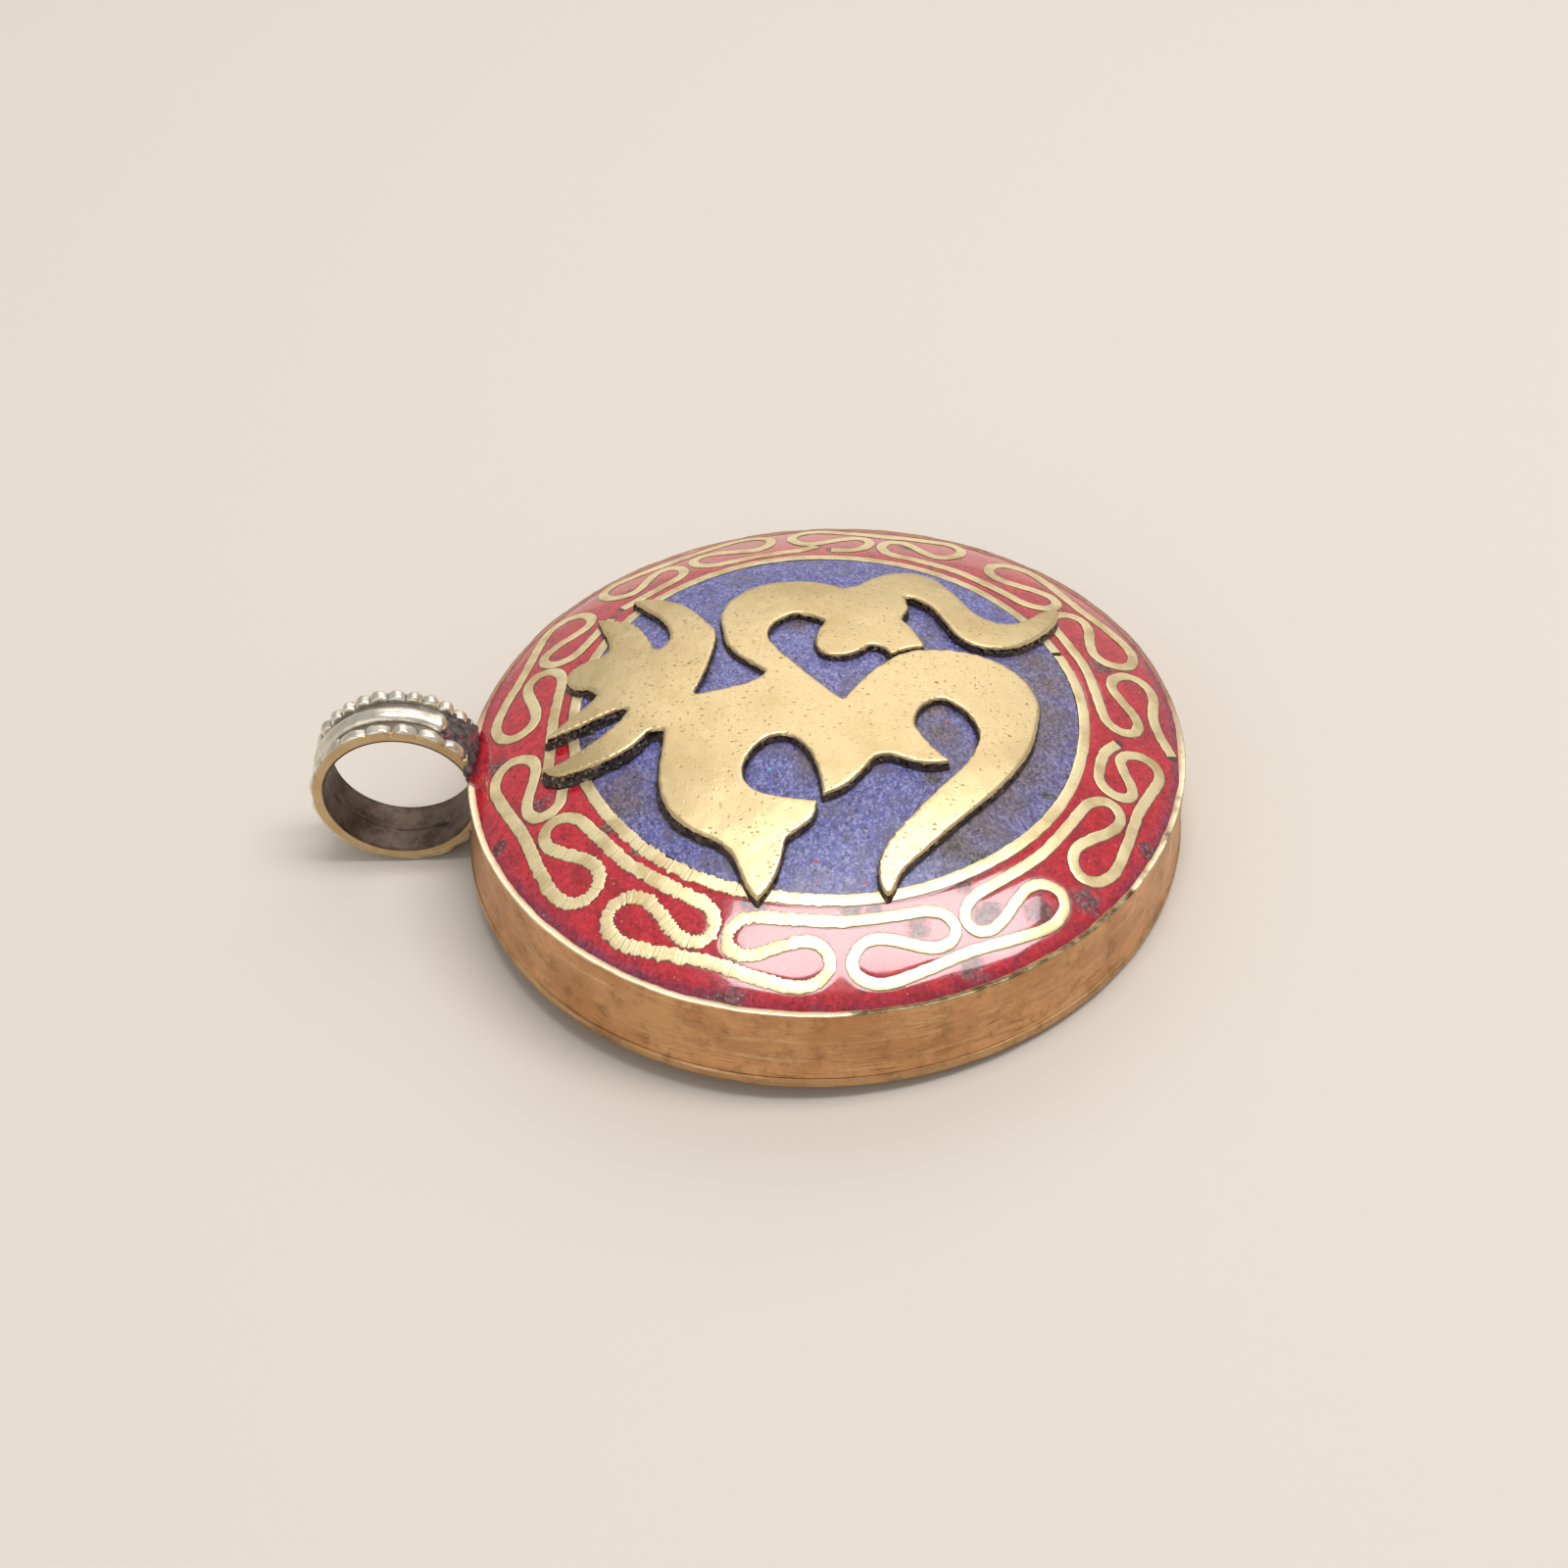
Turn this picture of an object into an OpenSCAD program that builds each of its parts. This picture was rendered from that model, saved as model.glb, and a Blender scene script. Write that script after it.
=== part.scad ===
// Round ghau: a pull-apart amulet box of sheet brass with a domed mosaic face, worn on a cord.
// Units are millimetres. The origin is the centre of the back plate's outer face,
// +Z points out of the mosaic face and +Y points at the bail.

/* [Case] */
// Outer diameter of the side band
case_d = 50; // [44:0.5:60]
// Sheet thickness of the side band
band_wall = 0.6; // [0.4:0.05:0.9]
// Height of the side band
band_h = 6; // [4.2:0.1:8]
// Sheet thickness of the domed plate under the mosaic
dome_plate_t = 0.6; // [0.4:0.05:0.8]
// Rise of the mosaic's crown above the band's rim
dome_rise = 5.7; // [4.8:0.1:7]

/* [Back cover] */
// Sheet thickness of the back plate
back_t = 0.8; // [0.6:0.05:1.2]
// How far the back plate stands proud of the band all round
back_lip = 0.3; // [0.1:0.05:0.5]
// Sheet thickness of the collar that plugs into the band
collar_wall = 0.6; // [0.4:0.05:0.9]
// Height of the collar above the back plate
collar_h = 1.8; // [1.2:0.1:2]
// Radial clearance of the collar in the band
collar_clearance = 0.05; // [0.03:0.01:0.1]

/* [Mosaic] */
// Thickness of the chips and resin, ground flush
mosaic_t = 1.2; // [0.8:0.1:1.4]
// Thickness of the lac that beds the chips on the domed plate
lac_t = 0.5; // [0.3:0.1:0.7]
// Width of the coral border, from the ring wire to the band's outer face
border_w = 6.99; // [6.4:0.01:7.6]
// Width of the ring wire and of the border wires
wire_w = 0.72; // [0.4:0.02:0.74]
// How far the wires stand proud of the chips
wire_proud = 0.06; // [0:0.01:0.15]
// Gap between the ring wire's two ends
ring_gap = 0.4; // [0.2:0.1:1]

/* [Emblem] */
// How much wider than the ring wire the emblem's outline is drawn, so that its tips lap over the wire
emblem_lap = 0.7; // [0:0.1:1.2]
// Sheet thickness of the emblem
emblem_t = 1; // [0.6:0.1:1.5]
// Height of the emblem's crown above the mosaic's crown
emblem_rise = 1.25; // [1.2:0.05:2]
// How much larger the radius of the emblem's doming is than that of the mosaic's face
emblem_flatter = 13; // [6:1:25]

/* [Bail] */
// Bore of the bail, that the cord goes through
bail_bore_d = 10.4; // [8:0.1:12]
// Sheet thickness of the bail's strip
bail_wall = 0.5; // [0.4:0.05:0.9]
// Width of the bail, along the cord
bail_w = 4.4; // [3.6:0.1:6]
// How far the bail's bore is let into the band's side, where the strip's two ends meet it
bail_let_in = 0.2; // [0.15:0.05:0.5]
// Height of the bail's axis above the middle of the band
bail_rise = 0.4; // [-0.4:0.1:0.6]
// Height of the scalloped edge wires above the strip
edge_h = 0.55; // [0.3:0.05:0.9]
// Width of each scalloped edge wire
edge_w = 0.9; // [0.5:0.05:1.2]
// Depth of the notches between scallops
scallop_depth = 0.4; // [0.2:0.05:0.5]
// Number of scallops round each edge wire
scallops = 20; // [12:1:30]
// Width of the half-round wire along the middle
ridge_w = 1.4; // [0.8:0.1:1.6]
// Height of the half-round wire
ridge_h = 0.5; // [0.3:0.05:0.8]
// Thickness of the solder on top of the strip
solder_t = 0.45; // [0.2:0.05:0.8]
// How far the solder reaches from the band's side
solder_reach = 2.2; // [1.5:0.1:3]

/* [Prayer scroll] */
// Diameter of the rolled paper
scroll_d = 4.4; // [3:0.1:4.4]
// Length of the rolled paper
scroll_len = 28; // [16:1:29]
// Thickness of the rolled sheet, of several soft layers
paper_t = 0.35; // [0.2:0.05:0.4]
// Clear gap between two turns of the sheet
paper_gap = 0.2; // [0.15:0.05:0.4]
// Diameter of the hollow in the middle of the roll
scroll_core_d = 1; // [0.6:0.1:1.4]
// Distance from the case's centre to the scroll's axis
scroll_offset = 9; // [7:0.5:10]
// Diameter of the thread that ties the roll
thread_d = 0.5; // [0.3:0.1:0.7]

/* [Hidden] */
$fn = 180;

// Clearance between glued or soldered faces, so that no two sheets share metal
seam = 0.02;
// Overrun of a cut past the face that it goes through
cut_over = 1;
// Clearance round the back plate's edge, where the bail has to let it pass
slip = 0.15;
// Rest gap under the loose scroll
rest_gap = 0.15;

case_r = case_d / 2;
inner_r = case_r - band_wall;
rim_z = back_t + band_h;
back_r = case_r + back_lip;

// The mosaic's outer face is a sphere through the rim's inner edge and the crown
face_r = inner_r - seam;
dome_r = (face_r * face_r + dome_rise * dome_rise) / (2 * dome_rise);
crown_z = rim_z + dome_rise;
dome_z = crown_z - dome_r;
lac_top_r = dome_r - mosaic_t;
plate_top_r = lac_top_r - lac_t;
plate_low_r = plate_top_r - dome_plate_t;

// The emblem's outer face is a flatter sphere
emblem_dome_r = dome_r + emblem_flatter;
emblem_z = crown_z + emblem_rise - emblem_dome_r;

// The border runs from the ring wire's outer edge to the band's outer face
border_in_r = case_r - border_w;
ring_d = 2 * border_in_r - wire_w;
// Size that the emblem's outline is drawn to, its height being a little more
emblem_span = ring_d + emblem_lap;

bail_in_r = bail_bore_d / 2;
bail_out_r = bail_in_r + bail_wall;
bail_top_r = bail_out_r + edge_h;
bail_y = case_r + bail_in_r - bail_let_in;
bail_z = back_t + band_h / 2 + bail_rise;

collar_r = inner_r - collar_clearance;
scroll_z = back_t + thread_d + rest_gap + scroll_d / 2;
// Angle on the ring wire where its ends meet
ring_gap_deg = 292;
// Steps that each stretch of a curve is drawn in
curve_steps = 3;
// Steps that one scallop, one turn of the paper and the half-round wire's section are drawn in
scallop_steps = 6;
turn_steps = 18;
section_steps = 32;

// One cell of the border wire, as shares of the cell's angle and of the border's width,
// from the outer stretch round both lobes to the inner stretch
cell_path_shares = [
    [0.36, 0.74], [0.70, 0.80], [0.91, 0.74], [1.00, 0.59], [0.93, 0.42], [0.77, 0.355], [0.56, 0.41],
    [0.36, 0.51], [0.19, 0.555], [0.05, 0.51], [0, 0.38], [0.06, 0.25], [0.22, 0.17]
];
// Where the inner stretch under a cell lies, and where the outer stretch dips between cells
inner_stretch_share = 0.14;
inner_gap_share = 0.15;
outer_dip_share = 0.69;

// The four wires: first points, then cells by their two angles, then last points.
// A cell that starts on the inner stretch is the mirror of one that starts on the outer stretch.
wire_1_start_shares = [];
wire_1_cells_deg = [
    [96.5, 113.8], [116.2, 134.7], [139.5, 158.6], [161.4, 180.3],
    [184, 203.2], [205.6, 224.3], [229.8, 247.9], [250.5, 263]
];
wire_1_end_shares = [[258, 0.15], [261.5, 0.19], [264.3, 0.29]];
wire_2_start_shares = [[266, 0.86], [270, 0.75]];
wire_2_cells_deg = [[268.3, 285.6], [288.3, 306], [308.7, 326.6], [333.8, 348.5], [351.2, 367]];
wire_2_end_shares = [[358.7, 0.15]];
wire_3_start_shares = [[362, 0.26], [365.5, 0.17], [370, 0.15], [378, 0.14]];
wire_3_cells_deg = [[371, 388], [391, 406.5]];
wire_3_end_shares = [[399, 0.14], [404, 0.14], [409.6, 0.18]];
wire_4_start_shares = [[414, 0.15], [420, 0.14]];
wire_4_cells_deg = [[413, 430], [432.3, 450.3]];
wire_4_end_shares = [[442, 0.14], [450, 0.15], [458, 0.18], [465, 0.26]];

// The emblem's outline as shares of its span, in runs that are smooth between two corners.
// Each run starts at the corner where the run before it ends.
emblem_runs_shares = [
    [[-0.504, 0.138], [-0.480, 0.156], [-0.444, 0.172], [-0.412, 0.186], [-0.386, 0.212], [-0.364, 0.248],
     [-0.336, 0.280], [-0.300, 0.304], [-0.255, 0.317], [-0.200, 0.319], [-0.160, 0.315], [-0.110, 0.312]],
    [[-0.110, 0.312], [-0.109, 0.340]],
    [[-0.109, 0.340], [-0.140, 0.368], [-0.160, 0.400], [-0.172, 0.440], [-0.180, 0.480],
     [-0.180, 0.512], [-0.158, 0.542]],
    [[-0.158, 0.542], [-0.154, 0.515], [-0.136, 0.476], [-0.106, 0.434], [-0.070, 0.396], [-0.040, 0.381]],
    [[-0.040, 0.381], [-0.038, 0.404], [-0.052, 0.444], [-0.070, 0.495], [-0.080, 0.542]],
    [[-0.080, 0.542], [-0.056, 0.514], [-0.030, 0.484], [-0.006, 0.459], [0.016, 0.442]],
    [[0.016, 0.442], [0.038, 0.460], [0.048, 0.488], [0.068, 0.504], [0.090, 0.507], [0.112, 0.496],
     [0.128, 0.468], [0.132, 0.442]],
    [[0.132, 0.442], [0.152, 0.427], [0.192, 0.433], [0.226, 0.444], [0.268, 0.456]],
    [[0.268, 0.456], [0.250, 0.420], [0.232, 0.388], [0.200, 0.366], [0.164, 0.350], [0.126, 0.338]],
    [[0.126, 0.338], [0.126, 0.326]],
    [[0.126, 0.326], [0.152, 0.310], [0.190, 0.313], [0.232, 0.332], [0.272, 0.360], [0.314, 0.390]],
    [[0.314, 0.390], [0.308, 0.346], [0.290, 0.316], [0.264, 0.284], [0.224, 0.256], [0.194, 0.239],
     [0.164, 0.222], [0.128, 0.220], [0.080, 0.228], [0.034, 0.239], [-0.028, 0.260]],
    [[-0.028, 0.260], [-0.022, 0.210], [-0.012, 0.166], [0.002, 0.138], [0.020, 0.122]],
    [[0.020, 0.122], [0.046, 0.150], [0.080, 0.181], [0.120, 0.201], [0.160, 0.207], [0.200, 0.212],
     [0.240, 0.204], [0.274, 0.182], [0.302, 0.150], [0.318, 0.104], [0.320, 0.060], [0.312, 0.014],
     [0.292, -0.028]],
    [[0.292, -0.028], [0.302, -0.056], [0.330, -0.086], [0.352, -0.124], [0.361, -0.164], [0.350, -0.204],
     [0.316, -0.234], [0.266, -0.264], [0.224, -0.292], [0.204, -0.328], [0.209, -0.362],
     [0.234, -0.394], [0.270, -0.426], [0.302, -0.460]],
    [[0.302, -0.460], [0.256, -0.458], [0.210, -0.435], [0.166, -0.402], [0.132, -0.364], [0.116, -0.320],
     [0.120, -0.280], [0.146, -0.247], [0.190, -0.226], [0.234, -0.203], [0.260, -0.176], [0.271, -0.146]],
    [[0.271, -0.146], [0.252, -0.153], [0.220, -0.156], [0.188, -0.143], [0.160, -0.158],
     [0.128, -0.173], [0.099, -0.185]],
    [[0.099, -0.185], [0.096, -0.172], [0.089, -0.148], [0.070, -0.118]],
    [[0.070, -0.118], [0.092, -0.100], [0.097, -0.077]],
    [[0.097, -0.077], [0.076, -0.054], [0.062, -0.020], [0.070, 0.014], [0.100, 0.028],
     [0.136, 0.023], [0.176, 0.007]],
    [[0.176, 0.007], [0.194, 0.038], [0.202, 0.066], [0.180, 0.100], [0.140, 0.119], [0.100, 0.108],
     [0.040, 0.068], [-0.020, 0.018], [-0.065, -0.023]],
    [[-0.065, -0.023], [-0.032, -0.043], [0.016, -0.078], [0.060, -0.120], [0.082, -0.158],
     [0.092, -0.200], [0.094, -0.244], [0.085, -0.294], [0.062, -0.342], [0.020, -0.380],
     [-0.035, -0.398], [-0.100, -0.390], [-0.160, -0.373], [-0.220, -0.340], [-0.284, -0.290],
     [-0.350, -0.226], [-0.410, -0.166], [-0.452, -0.124], [-0.480, -0.110], [-0.496, -0.098],
     [-0.476, -0.083], [-0.436, -0.082], [-0.394, -0.100], [-0.340, -0.144], [-0.280, -0.193],
     [-0.228, -0.236], [-0.184, -0.264], [-0.136, -0.277], [-0.090, -0.262], [-0.058, -0.230],
     [-0.051, -0.204], [-0.074, -0.172], [-0.120, -0.156], [-0.158, -0.173], [-0.190, -0.198],
     [-0.212, -0.221]],
    [[-0.212, -0.221], [-0.220, -0.180], [-0.216, -0.148], [-0.203, -0.110], [-0.208, -0.080]],
    [[-0.208, -0.080], [-0.248, -0.052], [-0.282, -0.020], [-0.300, 0.018]],
    [[-0.300, 0.018], [-0.248, 0.025], [-0.196, 0.042], [-0.162, 0.070], [-0.154, 0.100],
     [-0.168, 0.132], [-0.208, 0.159], [-0.250, 0.164], [-0.286, 0.140], [-0.304, 0.090],
     [-0.313, 0.028]],
    [[-0.313, 0.028], [-0.346, 0.035], [-0.370, 0.060], [-0.390, 0.085], [-0.430, 0.094],
     [-0.474, 0.112], [-0.504, 0.138]]
];

// Point at share t of the stretch from b to c, with a and d the points before and after
function curve_point(a, b, c, d, t) =
    (2 * b + (c - a) * t + (2 * a - 5 * b + 4 * c - d) * t * t + (3 * b - a - 3 * c + d) * t * t * t) / 2;

// Smooth open curve through points, its last point left to what follows
function curve(points, steps) = let (last = len(points) - 1) [
    for (i = [0:last - 1])
        let (
            before = i > 0 ? points[i - 1] : 2 * points[0] - points[1],
            after = i < last - 1 ? points[i + 2] : 2 * points[last] - points[last - 1]
        )
        for (k = [0:steps - 1]) curve_point(before, points[i], points[i + 1], after, k / steps)
];

// A run of the emblem's outline: two points are a straight edge, more are a smooth curve
function run_points(run) = len(run) == 2 ? [run[0]] : curve(run, curve_steps);

// Point on the border, from an angle and a share of the border's width
function border_point(p) =
    let (r = border_in_r + p[1] * (case_r - border_in_r)) [r * cos(p[0]), r * sin(p[0])];

// A cell's path from the outer stretch to the inner one, and its mirror the other way
function cell_in(cell) = [for (p = cell_path_shares) [cell[0] + (cell[1] - cell[0]) * p[0], p[1]]];
function cell_out(cell) = let (last = len(cell_path_shares) - 1) [
    for (i = [0:last])
        let (p = cell_path_shares[last - i]) [cell[1] - (cell[1] - cell[0]) * p[0], p[1]]
];

// Share of a cell's angle at which the inner stretch passes under its far lobe
far_lobe_share = 0.62;
function under(cell, share) = cell[0] + (cell[1] - cell[0]) * share;

// Points that carry a wire from one cell to the next
function link(cell, next, inward) = inward
    ? [[under(cell, far_lobe_share), inner_stretch_share],
       [(cell[1] + next[0]) / 2, inner_gap_share],
       [under(next, 1 - far_lobe_share), inner_stretch_share]]
    : [[(cell[1] + next[0]) / 2, outer_dip_share]];

// Centre line of a border wire as angles and shares. first_in says whether
// its first cell is run from the outer stretch to the inner one.
function wire_line(start, cells, end, first_in) = let (last = len(cells) - 1) concat(
    start,
    [for (i = [0:last])
        let (inward = (i % 2 == 0) == first_in)
        for (p = concat(
            inward ? cell_in(cells[i]) : cell_out(cells[i]),
            i < last ? link(cells[i], cells[i + 1], inward) : []
        )) p],
    end
);

// Unit vector square to the line from a to b, on its left
function left_of(a, b) = [a[1] - b[1], b[0] - a[0]] / norm(b - a);

// Outline of a strip of even width along a line of points
function strip(points, width) = let (
    last = len(points) - 1,
    sides = [for (i = [0:last]) left_of(points[max(i - 1, 0)], points[min(i + 1, last)])]
) concat(
    [for (i = [0:last]) points[i] + sides[i] * width / 2],
    [for (i = [last:-1:0]) points[i] - sides[i] * width / 2]
);

// Smooth outline of a border wire, from its line of angles and shares
function wire_outline(line) = let (points = [for (p = line) border_point(p)])
    strip(concat(curve(points, curve_steps), [points[len(points) - 1]]), wire_w);

// Shell of a ball between two radii, its centre at a height on the axis
module dome_shell(low_r, high_r, centre_z) {
    translate([0, 0, centre_z])
        difference() {
            sphere(r = high_r);
            sphere(r = low_r);
        }
}

// Upright prism over a flat shape, tall enough to cross the dome
module prism() {
    linear_extrude(height = crown_z + emblem_rise + cut_over)
        children();
}

module wire_shape(line) {
    polygon(wire_outline(line));
}

module all_wire_shapes() {
    wire_shape(wire_line(wire_1_start_shares, wire_1_cells_deg, wire_1_end_shares, false));
    wire_shape(wire_line(wire_2_start_shares, wire_2_cells_deg, wire_2_end_shares, true));
    wire_shape(wire_line(wire_3_start_shares, wire_3_cells_deg, wire_3_end_shares, false));
    wire_shape(wire_line(wire_4_start_shares, wire_4_cells_deg, wire_4_end_shares, false));
}

// A wire of the border, standing on the lac and ground a little proud of the chips
module border_wire(line) {
    intersection() {
        dome_shell(lac_top_r + seam, dome_r + wire_proud, dome_z);
        prism()
            wire_shape(line);
    }
}

module emblem_shape() {
    polygon([for (run = emblem_runs_shares) for (p = run_points(run)) p * emblem_span]);
}

module bail_axis() {
    translate([0, bail_y, bail_z])
        rotate([0, 90, 0])
            children();
}

// Room that the case and the back plate's edge take from the bail
module bail_clearing() {
    translate([0, 0, back_t + slip])
        cylinder(r = case_r + seam, h = crown_z);
    translate([0, 0, bail_z - bail_top_r - cut_over])
        cylinder(r = back_r + slip, h = back_t + slip + bail_top_r + cut_over - bail_z);
}

// Room that the loop's wires leave free under the place where they run into the band, so that no chip
// of wire is left between the band and the back plate's edge
module wire_clearing() {
    bail_clearing();
    edge_y = sqrt(case_r * case_r - bail_w * bail_w / 4);
    meet_z = bail_z - sqrt(max(0, bail_out_r * bail_out_r - (bail_y - edge_y) * (bail_y - edge_y)));
    translate([0, 0, bail_z - bail_top_r - cut_over])
        cylinder(r = back_r + slip, h = bail_top_r + cut_over + meet_z + slip - bail_z);
}

// Room of the solder, between the edge wires and above the middle of the loop
module solder_room(grow) {
    room_w = bail_w - 2 * edge_w - 2 * seam + 2 * grow;
    translate([-room_w / 2, 0, bail_z])
        cube([room_w, case_r + solder_reach + grow, 2 * bail_top_r]);
}

// Scalloped ring: round humps set side by side, as shares of a hump's angle
function scallop_outline(high_r) = [
    for (i = [0:scallops - 1])
        for (k = [0:scallop_steps - 1])
            let (turn = 360 * (i + k / scallop_steps) / scallops,
                 r = high_r - scallop_depth * (1 - sin(180 * k / scallop_steps)))
            [r * cos(turn), r * sin(turn)]
];

module bail_edge_wire(low_x) {
    difference() {
        bail_axis()
            translate([0, 0, low_x])
                difference() {
                    linear_extrude(height = edge_w)
                        polygon(scallop_outline(bail_top_r));
                    translate([0, 0, -cut_over])
                        cylinder(r = bail_out_r + seam, h = edge_w + 2 * cut_over);
                }
        wire_clearing();
    }
}

module back_plate() {
    color([0.72, 0.56, 0.30])
        cylinder(r = back_r, h = back_t);
}

// Collar of the back cover, a push fit inside the band
module back_collar() {
    color([0.70, 0.55, 0.30])
        translate([0, 0, back_t])
            difference() {
                cylinder(r = collar_r, h = collar_h);
                translate([0, 0, -cut_over])
                    cylinder(r = collar_r - collar_wall, h = collar_h + 2 * cut_over);
            }
}

// The rolled sheet as one spiral strip
module prayer_scroll() {
    pitch = paper_t + paper_gap;
    low_r = scroll_core_d / 2 + paper_t / 2;
    turns = (scroll_d / 2 - paper_t / 2 - low_r) / pitch;
    steps = floor(turns * turn_steps);
    line = [
        for (i = [0:steps])
            let (turn = 360 * i / turn_steps, r = low_r + pitch * i / turn_steps)
            [r * cos(turn), r * sin(turn)]
    ];
    color([0.86, 0.78, 0.60])
        translate([-scroll_len / 2, -scroll_offset, scroll_z])
            rotate([0, 90, 0])
                linear_extrude(height = scroll_len)
                    polygon(strip(line, paper_t));
}

// Loop of thread round the middle of the scroll
module scroll_tie() {
    color([0.62, 0.12, 0.12])
        translate([0, -scroll_offset, scroll_z])
            rotate([0, 90, 0])
                rotate_extrude()
                    translate([scroll_d / 2 + seam + thread_d / 2, 0])
                        circle(r = thread_d / 2, $fn = 24);
}

module side_band() {
    color([0.76, 0.60, 0.32])
        translate([0, 0, back_t])
            difference() {
                cylinder(r = case_r, h = band_h);
                translate([0, 0, -cut_over])
                    cylinder(r = inner_r, h = band_h + 2 * cut_over);
            }
}

// One layer of the domed face, out to the band's inner wall
module face_layer(low_r, high_r) {
    intersection() {
        dome_shell(low_r, high_r, dome_z);
        cylinder(r = face_r, h = crown_z + cut_over);
    }
}

module dome_plate() {
    color([0.66, 0.50, 0.28])
        face_layer(plate_low_r, plate_top_r);
}

module lac_bed() {
    color([0.16, 0.11, 0.09])
        face_layer(plate_top_r + seam, lac_top_r);
}

module coral_border() {
    color([0.76, 0.13, 0.16])
        intersection() {
            dome_shell(lac_top_r + seam, dome_r, dome_z);
            prism()
                difference() {
                    circle(r = face_r);
                    circle(r = border_in_r + seam);
                    all_wire_shapes();
                }
        }
}

module lapis_field() {
    color([0.24, 0.28, 0.60])
        intersection() {
            dome_shell(lac_top_r + seam, dome_r, dome_z);
            cylinder(r = ring_d / 2 - wire_w / 2 - seam, h = crown_z + cut_over);
        }
}

// Hoop between lapis and coral, its two ends a little apart
module ring_wire() {
    color([0.84, 0.76, 0.52])
        intersection() {
            dome_shell(lac_top_r + seam, dome_r + wire_proud, dome_z);
            prism()
                difference() {
                    circle(r = ring_d / 2 + wire_w / 2);
                    circle(r = ring_d / 2 - wire_w / 2);
                    rotate(ring_gap_deg)
                        translate([ring_d / 2 - wire_w, -ring_gap / 2])
                            square([2 * wire_w, ring_gap]);
                }
        }
}

module border_wire_1() {
    color([0.84, 0.76, 0.52])
        border_wire(wire_line(wire_1_start_shares, wire_1_cells_deg, wire_1_end_shares, false));
}

module border_wire_2() {
    color([0.84, 0.76, 0.52])
        border_wire(wire_line(wire_2_start_shares, wire_2_cells_deg, wire_2_end_shares, true));
}

module border_wire_3() {
    color([0.84, 0.76, 0.52])
        border_wire(wire_line(wire_3_start_shares, wire_3_cells_deg, wire_3_end_shares, false));
}

module border_wire_4() {
    color([0.84, 0.76, 0.52])
        border_wire(wire_line(wire_4_start_shares, wire_4_cells_deg, wire_4_end_shares, false));
}

// Dark lac that fills the space between the dome and the flatter emblem
module emblem_lac() {
    color([0.10, 0.07, 0.06])
        difference() {
            intersection() {
                translate([0, 0, emblem_z])
                    sphere(r = emblem_dome_r - emblem_t - seam);
                prism()
                    emblem_shape();
            }
            translate([0, 0, dome_z])
                sphere(r = dome_r + wire_proud + seam);
        }
}

module emblem() {
    color([0.86, 0.79, 0.56])
        intersection() {
            dome_shell(emblem_dome_r - emblem_t, emblem_dome_r, emblem_z);
            prism()
                emblem_shape();
        }
}

// Strip bent to a loop, its two ends against the band
module bail_strip() {
    color([0.80, 0.78, 0.70])
        difference() {
            bail_axis()
                translate([0, 0, -bail_w / 2])
                    difference() {
                        cylinder(r = bail_out_r, h = bail_w);
                        translate([0, 0, -cut_over])
                            cylinder(r = bail_in_r, h = bail_w + 2 * cut_over);
                    }
            bail_clearing();
        }
}

module bail_ridge_wire() {
    color([0.82, 0.80, 0.72])
        difference() {
            bail_axis()
                rotate_extrude()
                    translate([bail_out_r + seam, 0])
                        intersection() {
                            ellipse_section(ridge_h, ridge_w / 2);
                            translate([0, -ridge_w])
                                square([2 * ridge_h, 2 * ridge_w]);
                        }
            wire_clearing();
            solder_room(seam);
        }
}

// Ellipse by its half axes
module ellipse_section(half_x, half_y) {
    polygon([
        for (i = [0:section_steps - 1])
            [half_x * cos(360 * i / section_steps), half_y * sin(360 * i / section_steps)]
    ]);
}

module bail_edge_wire_left() {
    color([0.80, 0.77, 0.68])
        bail_edge_wire(-bail_w / 2);
}

module bail_edge_wire_right() {
    color([0.80, 0.77, 0.68])
        bail_edge_wire(bail_w / 2 - edge_w);
}

// Solder that holds the top of the loop to the band, between the two edge wires
module bail_solder() {
    color([0.22, 0.19, 0.18])
        difference() {
            intersection() {
                bail_axis()
                    translate([0, 0, -bail_w])
                        difference() {
                            cylinder(r = bail_out_r + solder_t, h = 2 * bail_w);
                            translate([0, 0, -cut_over])
                                cylinder(r = bail_out_r + seam, h = 2 * bail_w + 2 * cut_over);
                        }
                solder_room(0);
            }
            bail_clearing();
        }
}

back_plate();
back_collar();
prayer_scroll();
scroll_tie();
side_band();
dome_plate();
lac_bed();
coral_border();
lapis_field();
ring_wire();
border_wire_1();
border_wire_2();
border_wire_3();
border_wire_4();
emblem_lac();
emblem();
bail_strip();
bail_ridge_wire();
bail_edge_wire_left();
bail_edge_wire_right();
bail_solder();
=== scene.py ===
# %% [markdown]
# # A round ghau, cell by cell
#
# A ghau is a box for prayers, worn on a cord. This one is a drum of sheet brass with a domed face of
# coral and lapis chips between flat brass wires, a raised brass emblem, and a back that pulls off.
# The construction comes in as fixed solids. This lesson adds what the eye sees: rounded edges,
# hammered sheet, chips, lac, pits and scratches. Everything is in metres, in the solids' own frame.

# %% Load the frame
import math
import bpy
import numpy as np
from mathutils import Matrix, Vector, kdtree, noise


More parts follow.
